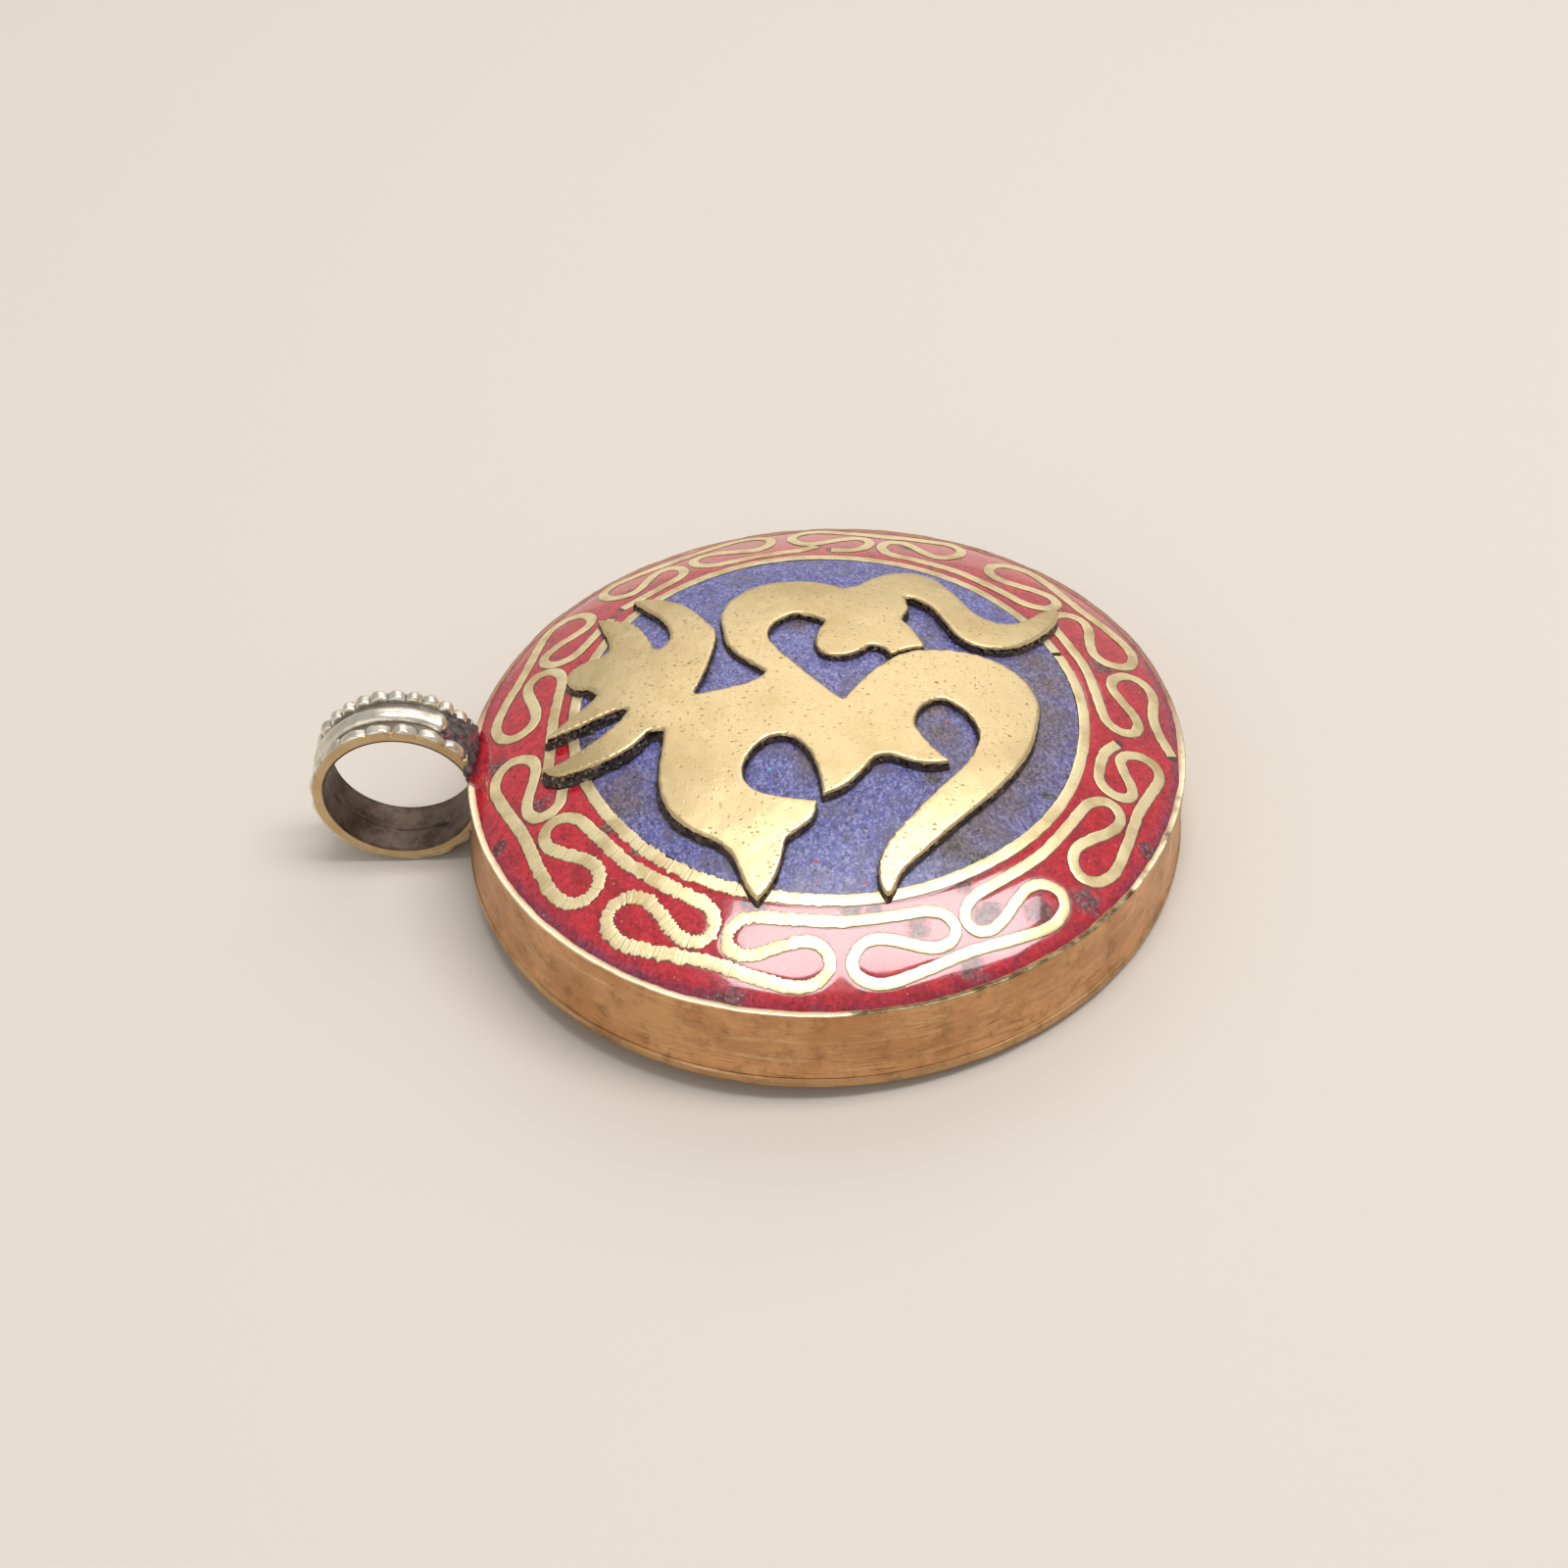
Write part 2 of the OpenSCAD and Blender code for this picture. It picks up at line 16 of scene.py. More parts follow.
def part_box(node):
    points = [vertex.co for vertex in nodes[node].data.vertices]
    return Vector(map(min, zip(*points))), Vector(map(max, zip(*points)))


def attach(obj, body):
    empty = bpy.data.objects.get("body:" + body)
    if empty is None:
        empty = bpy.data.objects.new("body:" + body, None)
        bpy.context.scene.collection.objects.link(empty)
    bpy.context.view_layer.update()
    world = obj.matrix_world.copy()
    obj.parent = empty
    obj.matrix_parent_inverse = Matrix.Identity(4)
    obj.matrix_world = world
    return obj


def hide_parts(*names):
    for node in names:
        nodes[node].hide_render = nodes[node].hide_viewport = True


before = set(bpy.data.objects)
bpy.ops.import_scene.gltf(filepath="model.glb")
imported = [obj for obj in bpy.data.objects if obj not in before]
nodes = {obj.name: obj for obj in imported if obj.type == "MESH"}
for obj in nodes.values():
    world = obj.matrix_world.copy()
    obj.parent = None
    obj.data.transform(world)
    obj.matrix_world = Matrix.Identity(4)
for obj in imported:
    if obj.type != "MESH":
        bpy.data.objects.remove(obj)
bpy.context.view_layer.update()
MM = 0.001
print("nodes:", len(nodes))

# %% [markdown]
# ## Sizes that the pieces share
#
# The frame's boxes give the drum's radius, the rim and the crown. The mosaic is part of a ball that
# passes through the rim and the crown, so one formula gives its height anywhere. The emblem's sheet is
# part of a flatter ball. The real case isn't quite round, so border and band become slightly oval.

# %% Sizes
CASE_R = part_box("side_band")[1].x
RIM_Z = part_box("side_band")[1].z
BACK_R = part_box("back_plate")[1].x
BACK_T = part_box("back_plate")[1].z
FACE_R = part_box("coral_border")[1].x
CROWN_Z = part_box("lapis_field")[1].z
RING_OUT_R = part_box("ring_wire")[1].x
LAPIS_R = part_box("lapis_field")[1].x
WIRE_W = 0.72 * MM
WIRE_PROUD = 0.06 * MM
EMBLEM_T = 1.0 * MM
EMBLEM_RISE = 1.25 * MM
EMBLEM_FLATTER = 13 * MM
DOME_RISE = CROWN_Z - RIM_Z
DOME_R = (FACE_R ** 2 + DOME_RISE ** 2) / (2 * DOME_RISE)
EMBLEM_R = DOME_R + EMBLEM_FLATTER


def dome_z(r):
    """Height of the mosaic's face at a distance from the middle."""
    return CROWN_Z - DOME_R + np.sqrt(DOME_R ** 2 - np.minimum(r, CASE_R) ** 2)


def emblem_z(r):
    """Height of the emblem's top face at a distance from the middle."""
    return CROWN_Z + EMBLEM_RISE - EMBLEM_R + np.sqrt(EMBLEM_R ** 2 - r ** 2)


def from_middle(places):
    """Each place's distance from the drum's axis."""
    return np.hypot(places[:, 0], places[:, 1])


def turn_of(places):
    """Each place's angle round the drum, in degrees from 0 to 360."""
    return np.degrees(np.arctan2(places[:, 1], places[:, 0])) % 360


def held(values):
    """The same numbers, none below 0 or above 1."""
    return np.clip(values, 0, 1)


OUT_OF_ROUND = 0.021


def hand_oval(places):
    """Pulls border and band out of round, half a millimetre out or in on the diagonals."""
    moved = places.copy()
    share = held((from_middle(places) - RING_OUT_R) / (CASE_R - RING_OUT_R))
    moved[:, 0] -= OUT_OF_ROUND * share * places[:, 1]
    moved[:, 1] -= OUT_OF_ROUND * share * places[:, 0]
    return moved


print("dome radius, mm:", round(DOME_R / MM, 2), "crown, mm:", round(CROWN_Z / MM, 2))

# %% [markdown]
# ## Camera
#
# The picture is taken from the emblem's left, 43 degrees up, with the bail at the left of the frame.
# The camera looks along +X, so it is turned a quarter turn about Z. Its distance and its small roll
# come from fitting the circles of the rim and the ring.

# %% Camera
CAMERA_TARGET = Vector((2.10, 3.05, 1.3)) * MM
CAMERA_DISTANCE = 197.1 * MM
CAMERA_ELEVATION = math.radians(43.47)
CAMERA_ROLL = math.radians(-0.12)
CAMERA_LENS = 63

bpy.ops.object.camera_add()
camera = bpy.context.object
camera.data.lens = CAMERA_LENS
camera.data.sensor_width = 36
camera.data.clip_start = 0.01
turn = (Matrix.Rotation(math.radians(-90), 4, "Z")
        @ Matrix.Rotation(math.pi / 2 - CAMERA_ELEVATION, 4, "X")
        @ Matrix.Rotation(CAMERA_ROLL, 4, "Z"))
back_off = turn @ Vector((0, 0, CAMERA_DISTANCE))
camera.matrix_world = Matrix.Translation(CAMERA_TARGET + back_off.to_3d()) @ turn
bpy.context.scene.camera = camera
print("camera, mm:", [round(v / MM, 1) for v in camera.matrix_world.translation])

# %% [markdown]
# ## A few tools for the bench
#
# Operators act on what is selected, so each step starts by selecting only its own piece. `numbers` and
# `place` read and write all vertices at once, which is how a flat piece is lifted onto the dome. `mark`
# leaves a number at each vertex for a material to read, and `rumple` gives dents and wear.

# %% Bench tools
def choose(piece):
    """Selects this piece alone and makes it the active one."""
    if bpy.context.object and bpy.context.object.mode != "OBJECT":
        bpy.ops.object.mode_set(mode="OBJECT")
    bpy.ops.object.select_all(action="DESELECT")
    piece.select_set(True)
    bpy.context.view_layer.objects.active = piece
    return piece


def numbers(piece):
    """The vertices' places as an array."""
    places = np.zeros(len(piece.data.vertices) * 3)
    piece.data.vertices.foreach_get("co", places)
    return places.reshape(-1, 3)


def normals(piece):
    """The vertices' normals as an array."""
    found = np.zeros(len(piece.data.vertices) * 3)
    piece.data.vertices.foreach_get("normal", found)
    return found.reshape(-1, 3)


def place(piece, places):
    """Writes the vertices' places back."""
    piece.data.vertices.foreach_set("co", np.ascontiguousarray(places, dtype=float).ravel())
    piece.data.update()


def mark(piece, name, values):
    """Keeps one number a vertex under a name, for a material to read."""
    layer = piece.data.attributes.new(name, "FLOAT", "POINT")
    layer.data.foreach_set("value", np.ascontiguousarray(values, dtype=float))


def apply_all(piece):
    """Applies every modifier, in order."""
    choose(piece)
    for modifier in list(piece.modifiers):
        bpy.ops.object.modifier_apply(modifier=modifier.name)


def clean(piece, merge=1e-7):
    """Merges doubles and turns all faces outwards."""
    choose(piece)
    bpy.ops.object.mode_set(mode="EDIT")
    bpy.ops.mesh.select_all(action="SELECT")
    bpy.ops.mesh.remove_doubles(threshold=merge)
    bpy.ops.mesh.normals_make_consistent(inside=False)
    bpy.ops.object.mode_set(mode="OBJECT")


def ease(share):
    """A share held between 0 and 1, with soft ends."""
    kept = held(share)
    return kept * kept * (3 - 2 * kept)


def beside(turns, middle, spread, top):
    """1 near an angle round the drum, falling to 0 on both sides; a higher top stays at 1 for longer."""
    return held(top - np.abs(turns - middle) / spread)


def copy_node(node, name):
    """A merged copy of a solid from the frame, free to be reshaped."""
    piece = bpy.data.objects.new(name, nodes[node].data.copy())
    bpy.context.collection.objects.link(piece)
    piece.data.materials.clear()
    clean(piece, 1e-6)
    return piece


def from_profile(name, profile, steps, closed=True, arc=2 * math.pi):
    """Turns a (radius, height) profile about Z, as on a lathe, and closes the ends of a part turn."""
    mesh = bpy.data.meshes.new(name)
    count = len(profile)
    edges = [(i, i + 1) for i in range(count - 1)] + ([(count - 1, 0)] if closed else [])
    mesh.from_pydata([(r, 0, z) for r, z in profile], edges, [])
    piece = bpy.data.objects.new(name, mesh)
    bpy.context.collection.objects.link(piece)
    modifier = piece.modifiers.new("lathe", "SCREW")
    modifier.steps = modifier.render_steps = steps
    modifier.angle = arc
    apply_all(piece)
    clean(piece, 2e-7)
    if arc < 2 * math.pi:
        bpy.ops.object.mode_set(mode="EDIT")
        bpy.ops.mesh.select_all(action="SELECT")
        bpy.ops.mesh.fill_holes(sides=0)
        bpy.ops.mesh.normals_make_consistent(inside=False)
        bpy.ops.object.mode_set(mode="OBJECT")
    return piece


def rumple(places, size, amount, seed=0):
    """A smooth random number at each place, from -amount to amount, for dents and wear."""
    shift = Vector((seed * 7.3, seed * 3.1, seed * 5.7))
    return np.array([noise.noise(Vector(p) / size + shift) for p in places]) * amount


def finish_piece(piece, body, material, slot, *replaced, angle=40):
    """Gives a piece its material, smooth shading, body and the solids that it stands for."""
    choose(piece)
    piece.data.materials.clear()
    piece.data.materials.append(material)
    bpy.ops.object.shade_smooth_by_angle(angle=math.radians(angle))
    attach(piece, body)
    if replaced:
        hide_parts(*replaced)
    print(piece.name, len(piece.data.polygons), "faces")
    return piece


# %% [markdown]
# ## Shader sums as plain Python
#
# A material here is a sum of masks. `Reading` wraps a socket, so that `1 - mask` or `chips * wear`
# adds the Math node by itself. `Finish` starts a material and adds any other node in one call, and its
# `coats` lays colours one over another, each where its mask says.

# %% Material tools
class Reading:
    """One socket of a material, open to Python's operators."""

    def __init__(self, finish, socket):
        self.finish = finish
        self.socket = socket

    def sum_with(self, operation, *others):
        values = dict(enumerate((self,) + others))
        return self.finish.node("ShaderNodeMath", {"operation": operation}, values)

    def __add__(self, other):
        return self.sum_with("ADD", other)

    def __sub__(self, other):
        return self.sum_with("SUBTRACT", other)

    def __mul__(self, other):
        return self.sum_with("MULTIPLY", other)

    def __rsub__(self, other):
        return self.finish.node("ShaderNodeMath", {"operation": "SUBTRACT"}, {0: other, 1: self})

    __radd__ = __add__
    __rmul__ = __mul__

    def rise(self, low, high):
        """0 below low, 1 above high, smooth between them; falls where low is above high."""
        flip = low > high
        found = self.finish.node(
            "ShaderNodeMapRange", {"interpolation_type": "SMOOTHSTEP"},
            {"Value": self, "From Min": min(low, high), "From Max": max(low, high)})
        return 1 - found if flip else found

    def larger(self, other):
        return self.sum_with("MAXIMUM", other)


class Finish:
    """One material, built node by node."""

    def __init__(self, name):
        self.material = bpy.data.materials.new(name)
        self.material.use_nodes = True
        self.tree = self.material.node_tree
        self.shader = self.tree.nodes["Principled BSDF"]

    def link(self, value, socket):
        if isinstance(value, Reading):
            self.tree.links.new(value.socket, socket)
        elif socket.type == "RGBA" and len(value) == 3:
            socket.default_value = (*value, 1)
        else:
            socket.default_value = value

    def node(self, kind, settings=None, inputs=None, output=0):
        made = self.tree.nodes.new(kind)
        for name, value in (settings or {}).items():
            setattr(made, name, value)
        for name, value in (inputs or {}).items():
            self.link(value, made.inputs[name])
        return Reading(self, made.outputs[output])

    def coords(self, stretch=(1, 1, 1)):
        """The piece's own coordinates in metres, with each axis packed closer by its stretch."""
        own = self.node("ShaderNodeTexCoord", output="Object")
        if stretch == (1, 1, 1):
            return own
        return self.node("ShaderNodeMapping", None, {"Vector": own, "Scale": stretch})

    def round_coords(self, stretch=(1, 1, 1)):
        """Way round the drum, height and radius, in metres, for marks that follow a turned wall."""
        parts = self.tree.nodes.new("ShaderNodeSeparateXYZ")
        self.link(self.coords(), parts.inputs[0])
        x, y, z = (Reading(self, socket) for socket in parts.outputs)
        way = y.sum_with("ARCTAN2", x) * CASE_R
        radius = (x * x + y * y).sum_with("SQRT")
        return self.node("ShaderNodeCombineXYZ", None,
                         {0: way * stretch[0], 1: z * stretch[1], 2: radius * stretch[2]})

    def noise(self, size, detail=4, rough=0.55, where=None, twist=0):
        """Cloudy noise with blots of about this size in metres, from 0 to 1."""
        return self.node("ShaderNodeTexNoise", None, {
            "Vector": where or self.coords(), "Scale": 1 / size, "Detail": detail,
            "Roughness": rough, "Distortion": twist})

    def chips(self, size, where=None, output="Distance"):
        """Cells of about this size in metres."""
        return self.node("ShaderNodeTexVoronoi", None,
                         {"Vector": where or self.coords(), "Scale": 1 / size, "Randomness": 1}, output)

    def shades(self, size):
        """A random grey for each of those cells."""
        return self.node("ShaderNodeSeparateColor", None, {0: self.chips(size, output="Color")})

    def seen(self, name):
        """A number that the piece carries at each vertex."""
        return self.node("ShaderNodeAttribute", {"attribute_name": name}, output="Fac")

    def mix(self, share, first, second):
        """The first colour where the share is 0, the second where it is 1."""
        made = self.tree.nodes.new("ShaderNodeMix")
        made.data_type = "RGBA"
        self.link(share, made.inputs["Factor"])
        self.link(first, made.inputs[6])
        self.link(second, made.inputs[7])
        return Reading(self, made.outputs[2])

    def coats(self, tone, *coats):
        """A colour with coats laid over it in order, each a share and a colour."""
        for share, colour in coats:
            tone = self.mix(share, tone, colour)
        return tone

    def done(self, height=None, relief=0.0, normal_strength=1.0, **sockets):
        """Sets the shader's sockets by name and a bump of so many metres, and returns the material."""
        for name, value in sockets.items():
            self.link(value, self.shader.inputs[name.replace("_", " ").title()])
        if height:
            bump = self.node("ShaderNodeBump", None, {
                "Height": height, "Distance": relief, "Strength": normal_strength})
            self.link(bump, self.shader.inputs["Normal"])
        return self.material


# %% [markdown]
# ## Brass, four ways
#
# All the metal is one alloy, but it never looks alike. The emblem is polished and pitted, the wires are
# ground with the mosaic and show fine marks across, the drum is warmer, with long scratches round it,
# and the back is dull. Each is a metal whose colour, roughness and bump share the same masks, so that a
# scratch or a pit changes all three at one place. The wires are metal in part only, because their ground
# faces scatter light and look pale from every side.

# %% Emblem brass
def emblem_brass():
    brass = Finish("emblem_brass")
    cloud = brass.noise(5 * MM, 3)
    fine = brass.noise(0.20 * MM, 6, 0.72)
    drag = brass.noise(0.5 * MM, 5, 0.65, brass.coords((1, 0.09, 1)))
    cross = brass.noise(0.4 * MM, 4, 0.6, brass.coords((0.12, 1, 1)))
    spread = brass.noise(1.6 * MM, 4, 0.6)
    dashes = brass.chips(0.52 * MM, brass.coords((1.5, 0.72, 1))).rise(0.26, 0.14)
    crossing = brass.chips(0.60 * MM, brass.coords((0.7, 1.4, 1))).rise(0.22, 0.12)
    dots = brass.chips(2.1 * MM).rise(0.075, 0.045)
    dashes = dashes * spread.rise(0.42, 0.58) * 0.8
    crossing = crossing * spread.rise(0.56, 0.42) * 0.65
    pits = dashes.larger(crossing).larger(dots)
    scratches = (drag.rise(0.58, 0.70) + cross.rise(0.62, 0.74)) * 0.6
    wall = brass.seen("wall").rise(0.25, 0.75)
    crust = brass.noise(0.35 * MM, 5, 0.7)
    tone = brass.coats(
        (0.78, 0.62, 0.35),
        (cloud.rise(0.40, 0.72) * 0.6, (0.62, 0.46, 0.225)),
        (scratches * 0.4, (0.92, 0.82, 0.56)),
        (fine.rise(0.48, 0.72) * 0.42, (0.40, 0.28, 0.12)),
        (pits * 0.75, (0.27, 0.20, 0.09)),
        # On the walls, dark lac whose lighter lumps are painted highlights on its bumps.
        (wall, brass.mix(crust.rise(0.50, 0.62), (0.020, 0.012, 0.010), (0.40, 0.31, 0.21))))
    rough = 0.30 + fine * 0.16 + scratches * 0.06 + pits * 0.3 + wall * 0.2
    height = fine * 0.30 - scratches * 0.35 - pits + crust * wall * 2.5
    metal = 1 - pits * 0.5 - wall * 0.4
    return brass.done(height, 0.03 * MM, 0.8, base_color=tone, roughness=rough, metallic=metal)


EMBLEM_BRASS = emblem_brass()

# %% Wire brass
def wire_brass():
    brass = Finish("wire_brass")
    fine = brass.noise(0.16 * MM, 5, 0.7)
    cloud = brass.noise(2.2 * MM, 3)
    along = brass.node("ShaderNodeCombineXYZ", None, {0: brass.seen("along"), 1: 0.0, 2: 0.0})
    marks = brass.noise(0.15 * MM, 3, 0.6, along)
    serrated = brass.seen("serrated")
    edge = brass.seen("edge")
    tone = brass.coats(
        (0.93, 0.79, 0.47),
        (cloud.rise(0.4, 0.7), (0.66, 0.52, 0.265)),
        (marks.rise(0.52, 0.66) * (0.12 + serrated * 0.6), (0.36, 0.25, 0.10)),
        (marks.rise(0.46, 0.36) * serrated * 0.7, (1.0, 0.95, 0.74)),
        (fine.rise(0.54, 0.72) * 0.4, (0.40, 0.28, 0.12)),
        (edge.rise(0.86, 1.0) * 0.5, (0.10, 0.06, 0.03)))
    rough = 0.24 + fine * 0.16 + marks * serrated * 0.12
    height = fine * 0.4 + marks * (0.25 + serrated * 1.1)
    return brass.done(height, 0.03 * MM, 0.7, base_color=tone, roughness=rough, metallic=0.62)


WIRE_BRASS = wire_brass()

# %% Drum brass
DRUM_MARKS = ("edge", "rubbed", "far", "dull", "smear")


def drum_brass(name, high, low, dark):
    brass = Finish(name)
    scratch = brass.noise(0.17 * MM, 6, 0.75, brass.round_coords((0.05, 1, 1)))
    drag = brass.noise(0.5 * MM, 4, 0.6, brass.round_coords((0.07, 1, 1)))
    tilted = brass.node("ShaderNodeMapping", None, {
        "Vector": brass.round_coords(), "Rotation": (0, 0, 0.5), "Scale": (0.08, 1, 1)})
    slanted = brass.noise(0.35 * MM, 4, 0.65, tilted)
    cloud = brass.noise(4.5 * MM, 4)
    worn = brass.noise(7 * MM, 3, 0.6, brass.round_coords((0.5, 2.2, 1))).rise(0.46, 0.62)
    blot = brass.noise(1.3 * MM, 5, 0.7)
    pits = brass.chips(0.9 * MM).rise(0.12, 0.05) * cloud.rise(0.50, 0.62) * 0.6
    edge, rubbed, far, dull, smear = (brass.seen(mark_name) for mark_name in DRUM_MARKS)
    rim = brass.noise(1.6 * MM, 5, 0.65)
    spoilt = ((rim - 0.5) * 1.2 + dull).rise(0.30, 0.62)
    ragged = brass.mix(blot.rise(0.4, 0.6), (0.36, 0.31, 0.17), (0.09, 0.07, 0.04))
    # Along the rim's top edge a bright line is painted in as a highlight. On the far side the painted
    # highlight turns dark red-brown, and dull ragged patches spoil it in places.
    rim_highlight_and_wear = brass.mix(spoilt, brass.mix(far, (0.95, 0.86, 0.62), (0.34, 0.20, 0.15)), ragged)
    resin = brass.mix(blot.rise(0.45, 0.6), (0.22, 0.012, 0.022), (0.035, 0.022, 0.024))
    tone = brass.coats(
        high,
        (cloud.rise(0.35, 0.65), low),
        (blot.rise(0.45, 0.70) * 0.45, dark),
        (scratch.rise(0.52, 0.66) * (0.15 + worn * 0.25 + rubbed * 0.6), dark),
        (drag.rise(0.56, 0.72) * 0.4, (0.84, 0.64, 0.38)),
        (slanted.rise(0.62, 0.72) * 0.35, (0.80, 0.62, 0.34)),
        (pits, (0.07, 0.042, 0.02)),
        (edge.rise(0.3, 0.8), rim_highlight_and_wear),
        (((rim - 0.5) + smear).rise(0.35, 0.6), resin))
    rough = 0.34 + scratch * 0.18 + blot.rise(0.55, 0.75) * 0.15 - edge * 0.06
    height = scratch * (0.5 + worn * 0.8) - pits + blot * 0.3
    return brass.done(height, 0.03 * MM, 0.8, base_color=tone, roughness=rough, metallic=1 - pits * 0.5)


BAND_BRASS = drum_brass("band_brass", (0.70, 0.385, 0.185), (0.56, 0.285, 0.125), (0.22, 0.105, 0.045))
BACK_BRASS = drum_brass("back_brass", (0.60, 0.36, 0.175), (0.48, 0.27, 0.12), (0.19, 0.095, 0.042))
print("brass finishes:", len(bpy.data.materials))

# %% [markdown]
# ## Mosaic and lac
#
# The face is made of small chips of coloured stone and resin pressed into warm lac and ground flush.
# Voronoi cells are the chips, each a little lighter or darker than the next. The lac shows as dark
# patches where chips are missing and as a thin line along the wires. The pieces carry their distance to
# the nearest wire or emblem wall as an attribute, so that the line follows the metal, and two more tell
# where chips are stained or smutted. The coral is polished under a clear coat, which thins at the rim.

# %% Coral mosaic
def coral_mosaic():
    coral = Finish("coral_mosaic")
    cell = coral.shades(0.8 * MM)
    crumbs = coral.shades(0.2 * MM)
    cloud = coral.noise(2.4 * MM, 4, 0.6)
    mottle = coral.noise(0.55 * MM, 6, 0.72, twist=0.3)
    blot = coral.noise(1.3 * MM, 6, 0.70, twist=0.5)
    grain = coral.noise(0.10 * MM, 3, 0.7)
    rim = coral.seen("rim_share").rise(0.82, 0.99)
    specks = coral.chips(0.55 * MM).rise(0.15, 0.06) * cloud.rise(0.46, 0.60)
    patches = ((blot - 0.5) * 1.4 + (mottle - 0.5) * 1.2 + coral.seen("stain")).rise(0.34, 0.80)
    haze = coral.mix(crumbs, (0.042, 0.016, 0.060), (0.20, 0.075, 0.150))
    hazes = rim * (blot.rise(0.42, 0.60) * 0.5 + coral.seen("hazed") * (0.45 + crumbs * 0.5))
    chipped = coral.coats(
        (0.030, 0.010, 0.014),
        (crumbs.rise(0.35, 1.0), (0.21, 0.15, 0.14)),
        (mottle.rise(0.55, 0.45) * 0.5, (0.26, 0.012, 0.025)))
    lac_line = (coral.seen("wire_gap") + (mottle - 0.5) * 0.30).rise(0.16, 0.0)
    tone = coral.coats(
        (0.53, 0.006, 0.022),
        (mottle.rise(0.34, 0.66), (0.31, 0.002, 0.010)),
        (cell * 0.30, (0.70, 0.035, 0.062)),
        (crumbs.rise(0.55, 1.0) * 0.28, (0.78, 0.055, 0.075)),
        (crumbs.rise(0.30, 0.0) * 0.45, (0.22, 0.003, 0.010)),
        (cloud.rise(0.50, 0.66) * 0.5, (0.22, 0.006, 0.020)),
        (blot.rise(0.56, 0.66) * 0.5, (0.14, 0.006, 0.018)),
        (hazes, haze),
        # Darker red towards the rim, painted shade where the border rolls off.
        (rim * 0.35, (0.16, 0.002, 0.010)),
        (patches * (0.6 + grain * 0.6), chipped),
        (lac_line * 0.85, (0.035, 0.012, 0.014)),
        (specks * 0.6, (0.80, 0.42, 0.42)),
        (crumbs.rise(0.05, 0.02) * 0.5, (0.09, 0.008, 0.014)))
    rough = 0.10 + grain * 0.10 + patches * 0.35 + lac_line * 0.25
    height = grain * 0.05 + mottle * 0.06 - patches * 0.7 - lac_line * 0.5
    return coral.done(height, 0.03 * MM, 0.35, base_color=tone, roughness=rough,
                      coat_weight=1 - rim * 0.6, coat_roughness=0.05)


# %% Lapis mosaic
def lapis_mosaic():
    lapis = Finish("lapis_mosaic")
    cell = lapis.shades(0.7 * MM)
    crumbs = lapis.shades(0.17 * MM)
    cloud = lapis.noise(2.6 * MM, 4, 0.6)
    mottle = lapis.noise(0.5 * MM, 6, 0.72, twist=0.3)
    grain = lapis.noise(0.10 * MM, 3, 0.7)
    shade = lapis.noise(1.1 * MM, 5, 0.7, twist=0.4)
    spots = lapis.chips(0.8 * MM).rise(0.20, 0.09) * cloud.rise(0.42, 0.56)
    rare = lapis.shades(1.5 * MM)
    flecks = lapis.chips(1.5 * MM).rise(0.12, 0.06)
    smut = lapis.mix(crumbs, (0.060, 0.036, 0.032), (0.20, 0.145, 0.130))
    patches = ((mottle - 0.5) * 1.8 + lapis.seen("stain")).rise(0.34, 0.80)
    lac_line = (lapis.seen("lac_gap") + (mottle - 0.5) * 0.4).rise(0.14, 0.0)
    tone = lapis.coats(
        (0.160, 0.160, 0.42),
        (mottle.rise(0.34, 0.66), (0.072, 0.068, 0.205)),
        (cell * 0.35, (0.060, 0.070, 0.36)),
        (crumbs.rise(0.5, 1.0) * 0.6, (0.36, 0.35, 0.60)),
        (crumbs.rise(0.30, 0.0) * 0.6, (0.018, 0.018, 0.075)),
        (shade.rise(0.54, 0.66) * 0.45, (0.030, 0.026, 0.060)),
        (shade.rise(0.40, 0.32) * 0.5, (0.22, 0.24, 0.62)),
        (cloud.rise(0.48, 0.66) * 0.6, (0.125, 0.100, 0.150)),
        (grain.rise(0.60, 0.74) * 0.5, (0.52, 0.50, 0.68)),
        (lapis.seen("smut") * (0.45 + mottle * 0.8), smut),
        (patches * 0.85, lapis.mix(crumbs, (0.014, 0.012, 0.018), (0.16, 0.135, 0.11))),
        (spots * 0.85, (0.012, 0.010, 0.016)),
        (flecks * rare.rise(0.82, 0.85), (0.10, 0.45, 0.50)),
        (flecks * rare.rise(0.14, 0.11), (0.42, 0.05, 0.07)),
        (lac_line * 0.92, (0.020, 0.013, 0.014)))
    rough = 0.24 + grain * 0.2 + lac_line * 0.3 + spots * 0.2 + patches * 0.2
    height = grain * 0.3 + mottle * 0.5 - spots - lac_line * 0.8 - patches * 0.8
    return lapis.done(height, 0.035 * MM, 0.6, base_color=tone, roughness=rough,
                      coat_weight=0.25, coat_roughness=0.2)


# %% Lac
def black_lac(name):
    lac = Finish(name)
    crust = lac.noise(0.32 * MM, 6, 0.72)
    grain = lac.noise(0.12 * MM, 3, 0.7)
    brown = lac.noise(0.9 * MM, 3).rise(0.4, 0.65)
    rope = lac.seen("rope")
    glints = crust.rise(0.52, 0.64) * (0.25 + rope * 0.6)
    tone = lac.coats(
        (0.030, 0.016, 0.014),
        (brown, (0.085, 0.052, 0.043)),
        (rope, lac.mix(brown, (0.010, 0.007, 0.008), (0.040, 0.025, 0.020))),
        (glints, (0.42, 0.34, 0.26)))
    rough = 0.28 + grain * 0.3
    return lac.done(crust + grain * 0.4, 0.10 * MM, 1.0, base_color=tone, roughness=rough,
                    metallic=glints * 0.7)


CORAL_MOSAIC = coral_mosaic()
LAPIS_MOSAIC = lapis_mosaic()
BLACK_LAC = black_lac("black_lac")
print("finishes so far:", len(bpy.data.materials))

